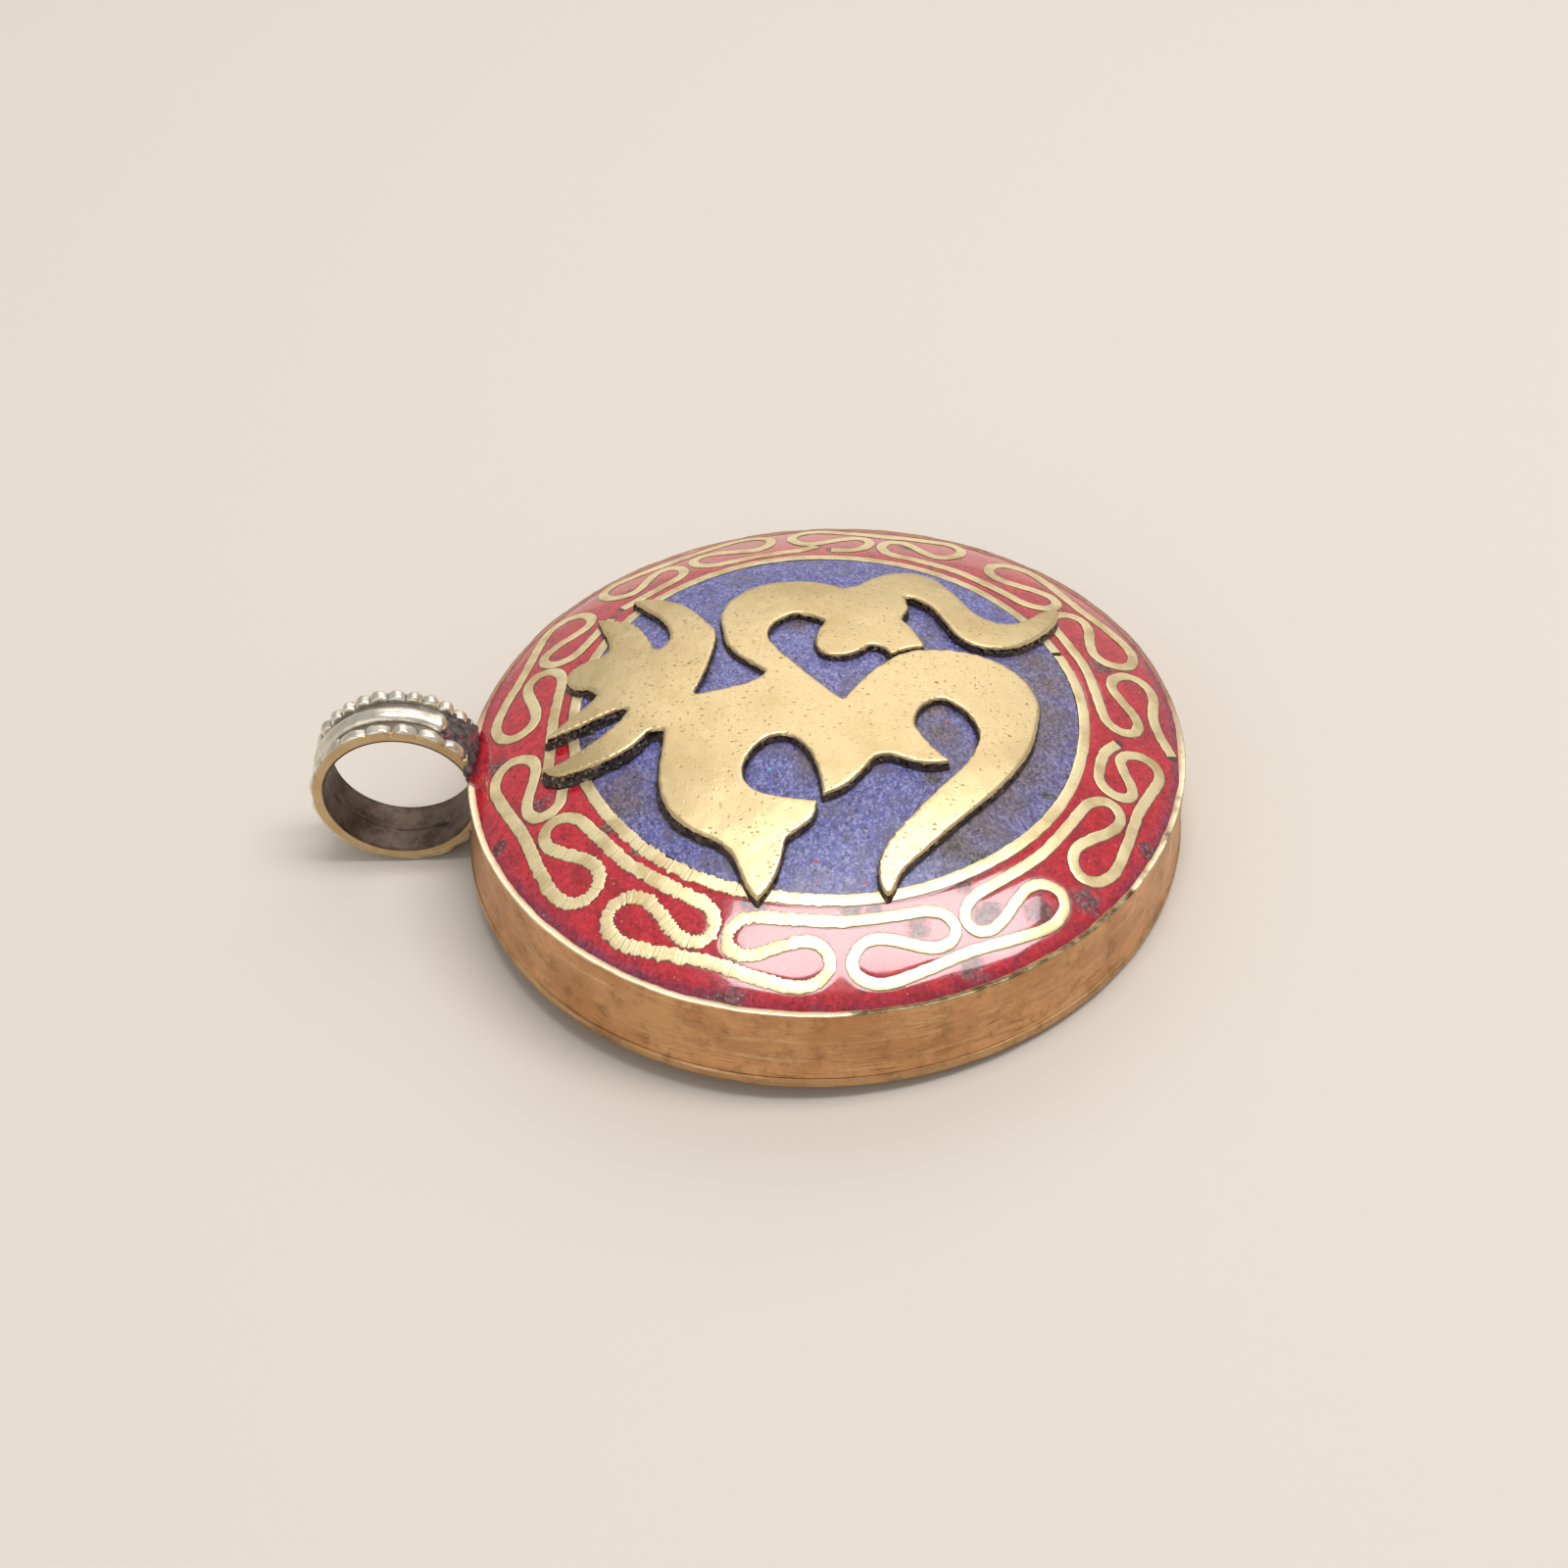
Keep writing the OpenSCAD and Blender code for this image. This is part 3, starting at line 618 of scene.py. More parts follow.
# %% [markdown]
# ## Bail silver, solder, paper and thread
#
# The bail is washed with white metal outside, bright on its high spots and dark in its hollows. Brass
# shows on the side faces, and the bore is brown-grey with soot, because no polish reaches it. The pieces
# mark hollows, sides and bore for it.

# %% Bail silver
def bail_silver():
    silver = Finish("bail_silver")
    fine = silver.noise(0.25 * MM, 5, 0.7)
    cloud = silver.noise(1.4 * MM, 4, 0.6)
    hollow = silver.seen("hollow").rise(0.25, 0.9)
    bore = silver.seen("bore").rise(0.3, 0.7)
    edge = silver.seen("brass_edge").rise(0.3, 0.7)
    sooty = silver.noise(2.0 * MM, 5, 0.65).rise(0.35, 0.65)
    soot = silver.coats(
        (0.085, 0.055, 0.040),
        (sooty, (0.18, 0.135, 0.11)),
        (fine.rise(0.55, 0.75) * 0.5, (0.34, 0.22, 0.10)))
    tone = silver.coats(
        (0.84, 0.80, 0.71),
        (cloud.rise(0.38, 0.68) * 0.7, (0.58, 0.52, 0.40)),
        (fine.rise(0.56, 0.75) * 0.4, (0.22, 0.17, 0.10)),
        (edge * 0.85, silver.mix(cloud, (0.62, 0.44, 0.20), (0.46, 0.29, 0.12))),
        (hollow * 0.9, (0.07, 0.05, 0.035)),
        (bore, soot))
    rough = 0.22 + fine * 0.14 + hollow * 0.3 + bore * 0.2 + edge * 0.12
    height = fine * 0.5 + cloud * 0.5
    return silver.done(height, 0.05 * MM, 0.7, base_color=tone, roughness=rough,
                       metallic=1 - hollow * 0.4)


# %% Solder, paper, thread
def dark_solder():
    solder = Finish("dark_solder")
    crust = solder.noise(0.5 * MM, 6, 0.7)
    red = solder.noise(1.25 * MM, 4, 0.6, twist=0.6).rise(0.56, 0.63)
    tone = solder.coats(
        (0.036, 0.028, 0.036),
        (crust.rise(0.35, 0.7), (0.15, 0.125, 0.115)),
        (red * 0.85, solder.mix(crust, (0.42, 0.010, 0.035), (0.22, 0.010, 0.030))))
    return solder.done(crust, 0.12 * MM, 1.0, base_color=tone, roughness=0.30 + crust * 0.25,
                       metallic=0.35 - red * 0.35)


def rolled_paper():
    paper = Finish("rolled_paper")
    fibre = paper.noise(0.5 * MM, 6, 0.7, paper.coords((0.25, 1, 1)))
    cloud = paper.noise(5 * MM, 3)
    edge_wear = paper.noise(1.2 * MM, 5, 0.7)
    tone = paper.coats(
        (0.66, 0.52, 0.32),
        (cloud.rise(0.35, 0.7), (0.50, 0.36, 0.19)),
        (fibre.rise(0.52, 0.72) * 0.5, (0.36, 0.23, 0.11)),
        (edge_wear.rise(0.62, 0.75) * 0.4, (0.25, 0.15, 0.07)))
    return paper.done(fibre, 0.08 * MM, 1.0, base_color=tone, roughness=0.85)


def red_thread():
    thread = Finish("red_thread")
    ply = thread.noise(0.16 * MM, 3, 0.6, thread.coords((0.4, 1, 1)))
    tone = thread.mix(ply.rise(0.4, 0.65), (0.42, 0.020, 0.028), (0.20, 0.010, 0.016))
    return thread.done(ply, 0.08 * MM, 1.0, base_color=tone, roughness=0.8)


BAIL_SILVER = bail_silver()
DARK_SOLDER = dark_solder()
ROLLED_PAPER = rolled_paper()
RED_THREAD = red_thread()
print("finishes:", [material.name for material in bpy.data.materials])

# %% [markdown]
# ## The emblem
#
# The real emblem is sawn from sheet, domed, filed round at its edges and set in lac. The solid has the
# right outline but knife edges. A voxel remesh of a copy gives even small faces, a few rounds of
# smoothing file the edges round, and a little noise leaves the marks of hand work. Vertices on the walls
# are marked, so that the brass stops at the edge.
#
# The real sheet also lies closer to the dome than the solid, and stands high on its lac only at the left
# prongs. So each vertex is let down to a wanted height over the mosaic. The picture looks down at a
# slant, where a lowered point would be seen further down, so it slides away from the camera as well.

# %% Emblem
EMBLEM_VOXEL = 0.13 * MM
WALL_START, WALL_FADE = 0.16 * MM, 0.12 * MM
# How high the sheet's top stands over the mosaic: everywhere, more at the near side, more at the far
# right, and on the rope of lac under the left prongs
STAND_H, NEAR_STAND_H, FAR_RIGHT_STAND_H, ROPE_RISE = 0.62 * MM, 0.30 * MM, 0.20 * MM, 1.25 * MM
# The near tips' outline was fitted this much lower already
FITTED_DROP = 0.62 * MM
EMBLEM_SHIFT_X, EMBLEM_SHIFT_Y, PRONG_SHIFT_X = 0.20 * MM, 0.15 * MM, 0.35 * MM


def remesh(piece, voxel, rounds, factor=0.5):
    """Even small faces over a closed piece, with its sharp edges filed round."""
    modifier = piece.modifiers.new("even", "REMESH")
    modifier.mode = "VOXEL"
    modifier.voxel_size = voxel
    modifier = piece.modifiers.new("file", "SMOOTH")
    modifier.iterations = rounds
    modifier.factor = factor
    apply_all(piece)


emblem = copy_node("emblem", "emblem_relief")
remesh(emblem, EMBLEM_VOXEL, 5)
places = numbers(emblem)
facing = normals(emblem)
radius = from_middle(places)
depth = emblem_z(radius) - places[:, 2]
wall = held((depth - WALL_START) / WALL_FADE)
worn = rumple(places, 3.2 * MM, 0.035 * MM) + rumple(places, 0.9 * MM, 0.012 * MM, 1)
rough_wall = (rumple(places, 0.45 * MM, 0.10 * MM, 2) + rumple(places, 0.22 * MM, 0.05 * MM, 3)) * wall
left_prongs = ease((places[:, 1] - 4 * MM) / (14 * MM))
rope = ease((places[:, 1] - 4 * MM) / (12 * MM)) * ease((6 * MM - places[:, 0]) / (11 * MM))
near_tips = held((-places[:, 0] - 11 * MM) / (7 * MM)) ** 1.5
fitted_drop = FITTED_DROP * near_tips * (1 - left_prongs)
stands = emblem_z(radius) - dome_z(radius)
wanted = STAND_H + NEAR_STAND_H * ease(-places[:, 0] / (9 * MM))
wanted += FAR_RIGHT_STAND_H * ease(-places[:, 1] / (10 * MM)) * ease(places[:, 0] / (6 * MM))
wanted += (ROPE_RISE - wanted) * rope
drop = np.maximum(stands - wanted, 0)
slide = (drop - fitted_drop) / math.tan(CAMERA_ELEVATION)
bent = places + np.stack([slide - EMBLEM_SHIFT_X - PRONG_SHIFT_X * left_prongs,
                          -EMBLEM_SHIFT_Y + EMBLEM_SHIFT_Y * left_prongs, -drop], 1)
place(emblem, bent + facing * (worn + rough_wall)[:, None])
mark(emblem, "wall", wall)

# %% [markdown]
# ## Lac under the emblem
#
# The gap between sheet and mosaic is packed with lac, which bulges out at the foot, and most at the left
# prongs, where it is a rope of its own. A copy of the emblem is stretched to fill from the mosaic to
# just under the top edge: each vertex keeps its share of the height, and the foot is pushed outwards.

# %% Emblem lac
lac = emblem.copy()
lac.data = emblem.data.copy()
lac.name = "emblem_lac_bed"
bpy.context.collection.objects.link(lac)
LAC_LOW = 0.10 * MM
LAC_TOP_GAP = 0.34 * MM
LAC_SKIN, LAC_BULGE, ROPE_BULGE = 0.02 * MM, 0.05 * MM, 0.20 * MM
radius = from_middle(bent)
share = 1 - held(depth / EMBLEM_T)
low = dome_z(radius) - LAC_LOW
high = emblem_z(radius) - LAC_TOP_GAP + (bent - places)[:, 2]
flat = facing * [1, 1, 0]
upright = held(1.4 - 1.4 * np.abs(facing[:, 2]))
bulge = (LAC_SKIN + (LAC_BULGE + ROPE_BULGE * rope) * (1 - share) ** 2) * upright
bulge += rumple(places, 0.6 * MM, 0.16 * MM, 4) * upright * (0.2 + 0.8 * rope)
bulge += rumple(places, 0.28 * MM, 0.12 * MM, 5) * upright * (0.25 + 0.75 * rope)
lac_places = bent + flat * bulge[:, None]
lac_places[:, 2] = low + (high - low) * share
place(lac, lac_places)
mark(lac, "rope", rope)
clean(lac)
foot = lac_places[(share < 0.3) & (upright > 0.5)][:, :2]
print("emblem faces:", len(emblem.data.polygons), "lac foot points:", len(foot))

# %% [markdown]
# ## Wires
#
# Each border wire is one flat strip of brass bent by hand round pins, two lobes to a cell. A cell's path
# is drawn once, as shares of its width and height, and every cell repeats it, turned over where the wire
# comes from the other side. A smooth curve runs through the points, a rounded bar follows the curve, and
# the flat result is lifted onto the dome. On the far side the pattern lies a little further out. The
# edges get a fine ragged line, toothed like a file at the lower left.

# %% Wire paths
CELL_PATH_SHARES = [
    (0.36, 0.69), (0.70, 0.745), (0.91, 0.69), (1.00, 0.55), (0.93, 0.395), (0.77, 0.335), (0.56, 0.385),
    (0.36, 0.475), (0.19, 0.52), (0.05, 0.475), (0, 0.355), (0.06, 0.24), (0.22, 0.165)]
INNER_SHARE = 0.14
INNER_GAP_SHARE = 0.15
OUTER_DIP_SHARE = 0.64
FAR_LOBE_SHARE = 0.62
FAR_REACH = 0.14
# Start points, cells by their two angles, end points, and whether the first cell is run inwards
WIRES = {
    "border_wire_1": ([], [
        (96.5, 113.8), (116.2, 134.7), (139.5, 158.6), (161.4, 180.3),
        (184, 203.2), (205.6, 224.3), (229.8, 247.9), (250.5, 263)],
        [(258, 0.15), (261.5, 0.19), (264.3, 0.29)], False),
    "border_wire_2": ([(266, 0.86), (270, 0.75)], [
        (268.3, 285.6), (288.3, 306), (308.7, 326.6), (333.8, 348.5), (351.2, 367)],
        [(358.7, 0.15)], True),
    "border_wire_3": ([(362, 0.26), (365.5, 0.17), (370, 0.15), (378, 0.14)], [(371, 388), (391, 406.5)],
        [(399, 0.14), (404, 0.14), (409.6, 0.18)], False),
    "border_wire_4": ([(414, 0.15), (420, 0.14)], [(413, 430), (432.3, 450.3)],
        [(442, 0.14), (450, 0.15), (458, 0.18), (465, 0.26)], False),
}


def cell_points(cell, inward):
    """A cell's path as angles and shares, run inwards, or its mirror run outwards."""
    low, high = cell
    if inward:
        return [(low + (high - low) * u, v) for u, v in CELL_PATH_SHARES]
    return [(high - (high - low) * u, v) for u, v in reversed(CELL_PATH_SHARES)]


def wire_points(start, cells, end, first_in):
    """A wire's whole path as angles and shares."""
    found = list(start)
    for i, cell in enumerate(cells):
        inward = (i % 2 == 0) == first_in
        found += cell_points(cell, inward)
        if i + 1 < len(cells):
            after = cells[i + 1]
            middle = (cell[1] + after[0]) / 2
            if inward:
                found.append((cell[0] + (cell[1] - cell[0]) * FAR_LOBE_SHARE, INNER_SHARE))
                found.append((middle, INNER_GAP_SHARE))
                found.append((after[0] + (after[1] - after[0]) * (1 - FAR_LOBE_SHARE), INNER_SHARE))
            else:
                found.append((middle, OUTER_DIP_SHARE))
    return found + list(end)


def on_border(points):
    """Angles and shares as flat places on the face."""
    pairs = np.array(points, float)
    a = np.radians(pairs[:, 0])
    far = held(np.cos(a) * 2)
    r = RING_OUT_R + pairs[:, 1] * (1 + FAR_REACH * far) * (CASE_R - RING_OUT_R)
    return np.stack([r * np.cos(a), r * np.sin(a)], 1)


def smooth_line(points, steps):
    """A smooth curve through points, as many small steps."""
    ends = np.concatenate([[2 * points[0] - points[1]], points, [2 * points[-1] - points[-2]]])
    found = []
    for a, b, c, d in zip(ends, ends[1:], ends[2:], ends[3:]):
        for t in np.arange(steps) / steps:
            found.append((2 * b + (c - a) * t + (2 * a - 5 * b + 4 * c - d) * t ** 2
                          + (3 * b - a - 3 * c + d) * t ** 3) / 2)
    return np.array(found + [points[-1]])


# %% Wire bars
BAR_DEPTH = 0.5 * MM
BAR_ROUND = 0.05 * MM
WIRE_STEPS = 18


def bar_profile():
    """A bar's section as a closed curve: flat top, rounded shoulders, foot below the chips."""
    half = WIRE_W / 2
    points = [(-half, -BAR_DEPTH), (half, -BAR_DEPTH), (half, -BAR_ROUND)]
    points += [(half - BAR_ROUND * (1 - math.cos(a)), -BAR_ROUND * (1 - math.sin(a)))
               for a in (math.pi / 6, math.pi / 3)]
    points += [(half - BAR_ROUND, 0), (half / 3, 0), (-half / 3, 0), (-half + BAR_ROUND, 0)]
    points += [(-half + BAR_ROUND * (1 - math.cos(a)), -BAR_ROUND * (1 - math.sin(a)))
               for a in (math.pi / 3, math.pi / 6)]
    points += [(-half, -BAR_ROUND)]
    return points


PROFILE = bar_profile()
SERRATED_MIDDLE = 150
SERRATED_SPREAD = 32
TOOTH_LEN, TOOTH_H = 0.17 * MM, 0.20 * MM
RAGGED_LEN, RAGGED_H = 0.5 * MM, 0.045 * MM


def flat_curve(name, points, cyclic):
    """A curve through flat points."""
    data = bpy.data.curves.new(name, "CURVE")
    data.dimensions = "3D"
    data.twist_mode = "Z_UP"
    spline = data.splines.new("POLY")
    spline.points.add(len(points) - 1)
    for point, (x, y) in zip(spline.points, points):
        point.co = (x, y, 0, 1)
    spline.use_cyclic_u = cyclic
    piece = bpy.data.objects.new(name, data)
    bpy.context.collection.objects.link(piece)
    return piece


def lift(places, proud):
    """Flat places laid on the dome."""
    found = places.copy()
    found[:, 2] += dome_z(from_middle(places)) + proud
    return found


def bend_wire(name, line, cyclic=False):
    """A bar along a flat line, its edges a little ragged, lifted onto the dome."""
    section = flat_curve("section", PROFILE, True)
    wire = flat_curve(name, line, cyclic)
    wire.data.bevel_mode = "OBJECT"
    wire.data.bevel_object = section
    wire.data.use_fill_caps = True
    choose(wire)
    bpy.ops.object.convert(target="MESH")
    wire = bpy.context.object
    bpy.data.objects.remove(section)
    tree = kdtree.KDTree(len(line))
    for i, (x, y) in enumerate(line):
        tree.insert((x, y, 0), i)
    tree.balance()
    run = np.concatenate([[0], np.cumsum(np.linalg.norm(np.diff(line, axis=0), axis=1))])
    heading = np.gradient(line, axis=0)
    flat = numbers(wire)
    near = [tree.find((x, y, 0)) for x, y, _ in flat]
    along = np.array([run[i] for _, i, _ in near])
    off = np.array([[x - co.x, y - co.y] for (co, _, _), (x, y, _) in zip(near, flat)])
    reach = np.linalg.norm(off, axis=1)
    outward = off / np.maximum(reach, 1e-9)[:, None]
    serrated = np.maximum(beside(turn_of(flat), SERRATED_MIDDLE, SERRATED_SPREAD, 1.3), 0.08)
    side = np.sign(np.cross(off, heading[[i for _, i, _ in near]]))
    teeth = rumple(np.stack([along, side * 0.01, along * 0], 1), TOOTH_LEN, TOOTH_H, 6)
    wider = (0.03 + 0.05 * serrated) * MM
    ragged = teeth * serrated + rumple(flat, RAGGED_LEN, RAGGED_H, 7) + wider
    moved = flat.copy()
    moved[:, :2] += outward * (ragged * (reach > WIRE_W / 4))[:, None]
    moved = lift(moved, WIRE_PROUD)
    moved[:, 2] += rumple(moved, 1.8 * MM, 0.02 * MM, 8) * (flat[:, 2] > -BAR_ROUND / 2)
    place(wire, hand_oval(moved))
    mark(wire, "along", along)
    mark(wire, "serrated", serrated)
    mark(wire, "edge", held(reach / (WIRE_W / 2)))
    clean(wire)
    return wire


wire_lines = {name: smooth_line(on_border(wire_points(*path)), WIRE_STEPS)
              for name, path in WIRES.items()}
RING_R = RING_OUT_R - WIRE_W / 2
RING_GAP_DEG = 292
RING_GAP = 0.4 * MM
gap_turn = math.degrees(RING_GAP / RING_R) / 2
ring_turns = np.radians(np.linspace(RING_GAP_DEG + gap_turn, RING_GAP_DEG + 360 - gap_turn, 1100))
ring_r = RING_R + (0.07 * MM * np.sin(3 * ring_turns + 0.6) + 0.04 * MM * np.sin(8 * ring_turns))
ring_line = np.stack([ring_r * np.cos(ring_turns), ring_r * np.sin(ring_turns)], 1)
wires = {name: bend_wire("laid_" + name, line) for name, line in wire_lines.items()}
wires["ring_wire"] = bend_wire("laid_ring_wire", ring_line)
print("wires:", {name: len(w.data.vertices) for name, w in wires.items()})

# %% [markdown]
# ## Mosaic faces
#
# Both mosaics are turned shapes, so each is a profile turned about the middle by a Screw modifier with
# many steps. Every vertex then learns how far it is from the nearest metal. That distance drives the
# dark line of lac, and it also dips the coral a little beside the metal, as grinding leaves it. The
# coral laps over the rim and rolls off there. Stains and smut lie in patches that are listed one by one.

# %% Mosaic
def near_metal(places, metal):
    """Flat distance from each place to the nearest of the metal's points."""
    tree = kdtree.KDTree(len(metal))
    for i, (x, y) in enumerate(metal):
        tree.insert((x, y, 0), i)
    tree.balance()
    return np.array([tree.find((x, y, 0))[2] for x, y, _ in places])


MOSAIC_DEPTH = 0.4 * MM
CORAL_OVER_RIM = 0.49 * MM
CORAL_OVER_FAR_RIM = 0.10 * MM
ROLL_OFF = 0.20 * MM
ROLL_OFF_W = 1.4 * MM
GROUND_DIP, GROUND_DIP_W_MM = 0.012 * MM, 0.2
WALL_SKIN = 0.10 * MM
# Middle angle and spread of the two stretches where the coral is hazed at the rim
HAZES = ((143, 28), (262, 30))
# Where chips are lost or sooty on the real face: x and y, then the patch's size, in mm
CORAL_STAINS = [
    (-23.7, 6.1, 0.9), (-9.6, 22.1, 0.6), (-10.7, 14.8, 0.6), (-7.6, 19.6, 0.9), (-12.8, 12.7, 0.5),
    (-17.9, 4.9, 0.9), (-18.1, -1.4, 0.6), (-18.0, -2.8, 0.5), (-19.2, -5.7, 0.7), (-18.0, -10.3, 0.9),
    (-17.0, -13.8, 1.0), (-15.7, -16.9, 1.0), (-21.5, -9.3, 0.8), (-15.9, -8.7, 0.6),
    (-10.8, -21.6, 0.7),
    (6.5, -19.5, 0.8), (15.5, 14.5, 0.7), (20.5, -6.0, 0.7), (-2.5, 22.8, 0.8)]
LAPIS_STAINS = [
    (-14.1, -9.6, 0.9), (-13.2, -8.0, 0.9), (-8.1, -14.7, 0.5), (-8.0, -6.8, 0.7), (-3.0, 16.4, 0.6),
    (-11.8, 9.6, 0.6), (9.0, -9.5, 0.6), (-15.2, 4.9, 0.7)]
# Brown smut that lies over the blue by the emblem's right limb and in its openings
LAPIS_SMUTS = [
    (5.0, -14.6, 1.3), (2.7, -15.2, 1.6), (-0.5, -14.6, 1.8), (-2.9, -14.0, 2.0), (-6.0, -12.6, 2.2),
    (-8.6, -11.0, 2.2), (-10.9, -9.6, 2.1), (-13.0, -8.2, 1.8), (-1.8, -7.0, 1.2), (-4.0, -7.4, 1.3),
    (-6.6, 1.0, 1.0), (-8.8, 14.0, 1.5), (8.5, -4.5, 1.0), (7.5, 2.0, 0.9)]


def stains(places, spots):
    """How strongly each place is stained by the nearest patch, from 0 to 1."""
    found = np.zeros(len(places))
    for x, y, size in spots:
        off = np.hypot(places[:, 0] - x * MM, places[:, 1] - y * MM) / (size * MM)
        found = np.maximum(found, np.exp(-off ** 2 / 1.6))
    return found


def mosaic_ring(name, low_r, high_r, rows, steps):
    """A turned sheet of the face between two radii, closed below."""
    radii = np.linspace(low_r, high_r, rows)
    top = [(r, float(dome_z(r))) for r in radii]
    under = [(r, float(dome_z(r)) - MOSAIC_DEPTH) for r in (high_r, low_r)]
    return from_profile(name, top + under, steps, closed=low_r > 0)


CORAL_R = FACE_R + CORAL_OVER_RIM
coral = mosaic_ring("coral_chips", RING_OUT_R - 0.1 * MM, CORAL_R, 52, 900)
coral_places = numbers(coral)
centres = np.concatenate(list(wire_lines.values()))
coral_r = from_middle(coral_places)
gap_mm = (near_metal(coral_places, centres) - WIRE_W / 2) / MM
gap_mm = np.minimum(gap_mm, np.abs(coral_r - RING_OUT_R) / MM)
dip = held(1 - gap_mm / GROUND_DIP_W_MM) * GROUND_DIP
uneven = rumple(coral_places, 2.4 * MM, 0.010 * MM, 9)
roll_off = held((coral_r - CORAL_R + ROLL_OFF_W) / ROLL_OFF_W) ** 2 * ROLL_OFF
coral_places[:, 2] += uneven - dip - roll_off
coral_turn = turn_of(coral_places)
far_side = held(coral_places[:, 0] / (6 * MM))
rim_share = (coral_r - RING_OUT_R) / (CORAL_R - RING_OUT_R)
at_rim = held(rim_share * 12 - 11)
ragged_rim = rumple(coral_places, 0.8 * MM, 0.13 * MM, 25)
ragged_rim += rumple(coral_places, 0.25 * MM, 0.05 * MM, 26)
outwards = coral_places * [1, 1, 0] / coral_r[:, None]
coral_places += outwards * ((ragged_rim + CORAL_OVER_FAR_RIM * far_side) * at_rim)[:, None]
inside_wall = np.minimum((CASE_R - WALL_SKIN) / np.maximum(from_middle(coral_places), MM), 1)
coral_places[:, :2] *= inside_wall[:, None]
place(coral, hand_oval(coral_places))
mark(coral, "hazed", np.maximum(*(beside(coral_turn, *haze, 1.4) for haze in HAZES)))
mark(coral, "wire_gap", gap_mm)
mark(coral, "rim_share", rim_share)
mark(coral, "stain", stains(coral_places, CORAL_STAINS))

lapis = mosaic_ring("lapis_chips", 0, LAPIS_R, 110, 560)
lapis_places = numbers(lapis)
lapis_gap = near_metal(lapis_places, foot) / MM
lapis_ring = (LAPIS_R - from_middle(lapis_places)) / MM
lapis_far = held(lapis_places[:, 0] / LAPIS_R)
lapis_gap = np.minimum(lapis_gap, lapis_ring + 0.25 - 0.25 * lapis_far)
lapis_places[:, 2] += (rumple(lapis_places, 1.4 * MM, 0.03 * MM, 11)
                       + rumple(lapis_places, 0.45 * MM, 0.015 * MM, 12))
place(lapis, lapis_places)
mark(lapis, "lac_gap", lapis_gap)
mark(lapis, "stain", stains(lapis_places, LAPIS_STAINS))
mark(lapis, "smut", stains(lapis_places, LAPIS_SMUTS))
print("coral and lapis vertices:", len(coral_places), len(lapis_places))

# %% Hand over the face
for piece, finish, slot, node in (
        (emblem, EMBLEM_BRASS, "brass_emblem", "emblem"), (lac, BLACK_LAC, "lac", "emblem_lac"),
        (coral, CORAL_MOSAIC, "coral_mosaic", "coral_border"),
        (lapis, LAPIS_MOSAIC, "lapis_mosaic", "lapis_field")):
    finish_piece(piece, "case", finish, slot, node, angle=60)
for node, wire in wires.items():
    finish_piece(wire, "case", WIRE_BRASS, "brass_wire", node, angle=50)

# %% [markdown]
# ## The drum
#
# The side band is a strip of sheet bent round and soldered. A turned profile with rounded corners gives
# the wall, which flares a little at its foot, and slow noise dents it, as hand work does. The back plate
# stands proud all round, so a dark line shows between the two. Marks tell the finish where a bright line
# is painted along the rim's top edge as a highlight, where that painted line turns darker on the far
# side, where the rim is dull, where the band is rubbed and where resin is smeared at the bail.

# %% Band and back plate
def rounded_profile(corners, radius, steps=4):
    """A closed profile through corners, each corner but the sharp ones cut by a small arc."""
    found = []
    count = len(corners)
    for i, corner in enumerate(corners):
        here = np.array(corner[:2])
        if len(corner) > 2:
            found.append(tuple(here))
            continue
        before = np.array(corners[i - 1][:2]) - here
        after = np.array(corners[(i + 1) % count][:2]) - here
        before = before / np.linalg.norm(before)
        after = after / np.linalg.norm(after)
        for k in range(steps + 1):
            t = k / steps
            start, end = here + before * radius, here + after * radius
            found.append(tuple((1 - t) ** 2 * start + 2 * t * (1 - t) * here + t ** 2 * end))
    return found


def subdivide(profile, longest, closed=True):
    """The same profile with no stretch longer than this."""
    found = []
    for a, b in zip(profile, profile[1:] + (profile[:1] if closed else [])):
        a, b = np.array(a), np.array(b)
        parts = max(1, math.ceil(np.linalg.norm(b - a) / longest))
        found += [tuple(a + (b - a) * k / parts) for k in range(parts)]
    return found + ([] if closed else [profile[-1]])


BAND_WALL = CASE_R - FACE_R - 0.02 * MM
RIM_PROUD = -0.08 * MM
RIM_INNER_DROP = 0.22 * MM
FAR_RIM_DROP = 0.16 * MM
BAND_FLARE, BAND_FLARE_H = 0.18 * MM, 1.1 * MM
BAND_LOW_Z = BACK_T + 0.02 * MM
band_corners = [
    (CASE_R - BAND_WALL, BAND_LOW_Z), (CASE_R + BAND_FLARE, BAND_LOW_Z), (CASE_R, BACK_T + BAND_FLARE_H),
    (CASE_R, RIM_Z + RIM_PROUD), (CASE_R - BAND_WALL, RIM_Z - RIM_INNER_DROP)]
band = from_profile("band_wall", subdivide(rounded_profile(band_corners, 0.12 * MM), 0.35 * MM), 720)
band_places = numbers(band)
band_facing = normals(band) * [1, 1, 0]
height_share = (band_places[:, 2] - BACK_T) / (RIM_Z - BACK_T)
dents = rumple(band_places, 7 * MM, 0.07 * MM, 13) + rumple(band_places, 2 * MM, 0.02 * MM, 14)
rim_waver = rumple(band_places * [1, 1, 0], 1.6 * MM, 0.07 * MM, 15)
rim_waver += rumple(band_places * [1, 1, 0], 0.4 * MM, 0.035 * MM, 27)
outer = from_middle(band_places) > CASE_R - BAND_WALL / 2
band_places += band_facing * (dents * outer * held(height_share * 4))[:, None]
far_band = held(band_places[:, 0] / (6 * MM))
band_places[:, 2] += (rim_waver - FAR_RIM_DROP * far_band) * held(height_share * 4 - 3)
band_turn = turn_of(band_places)
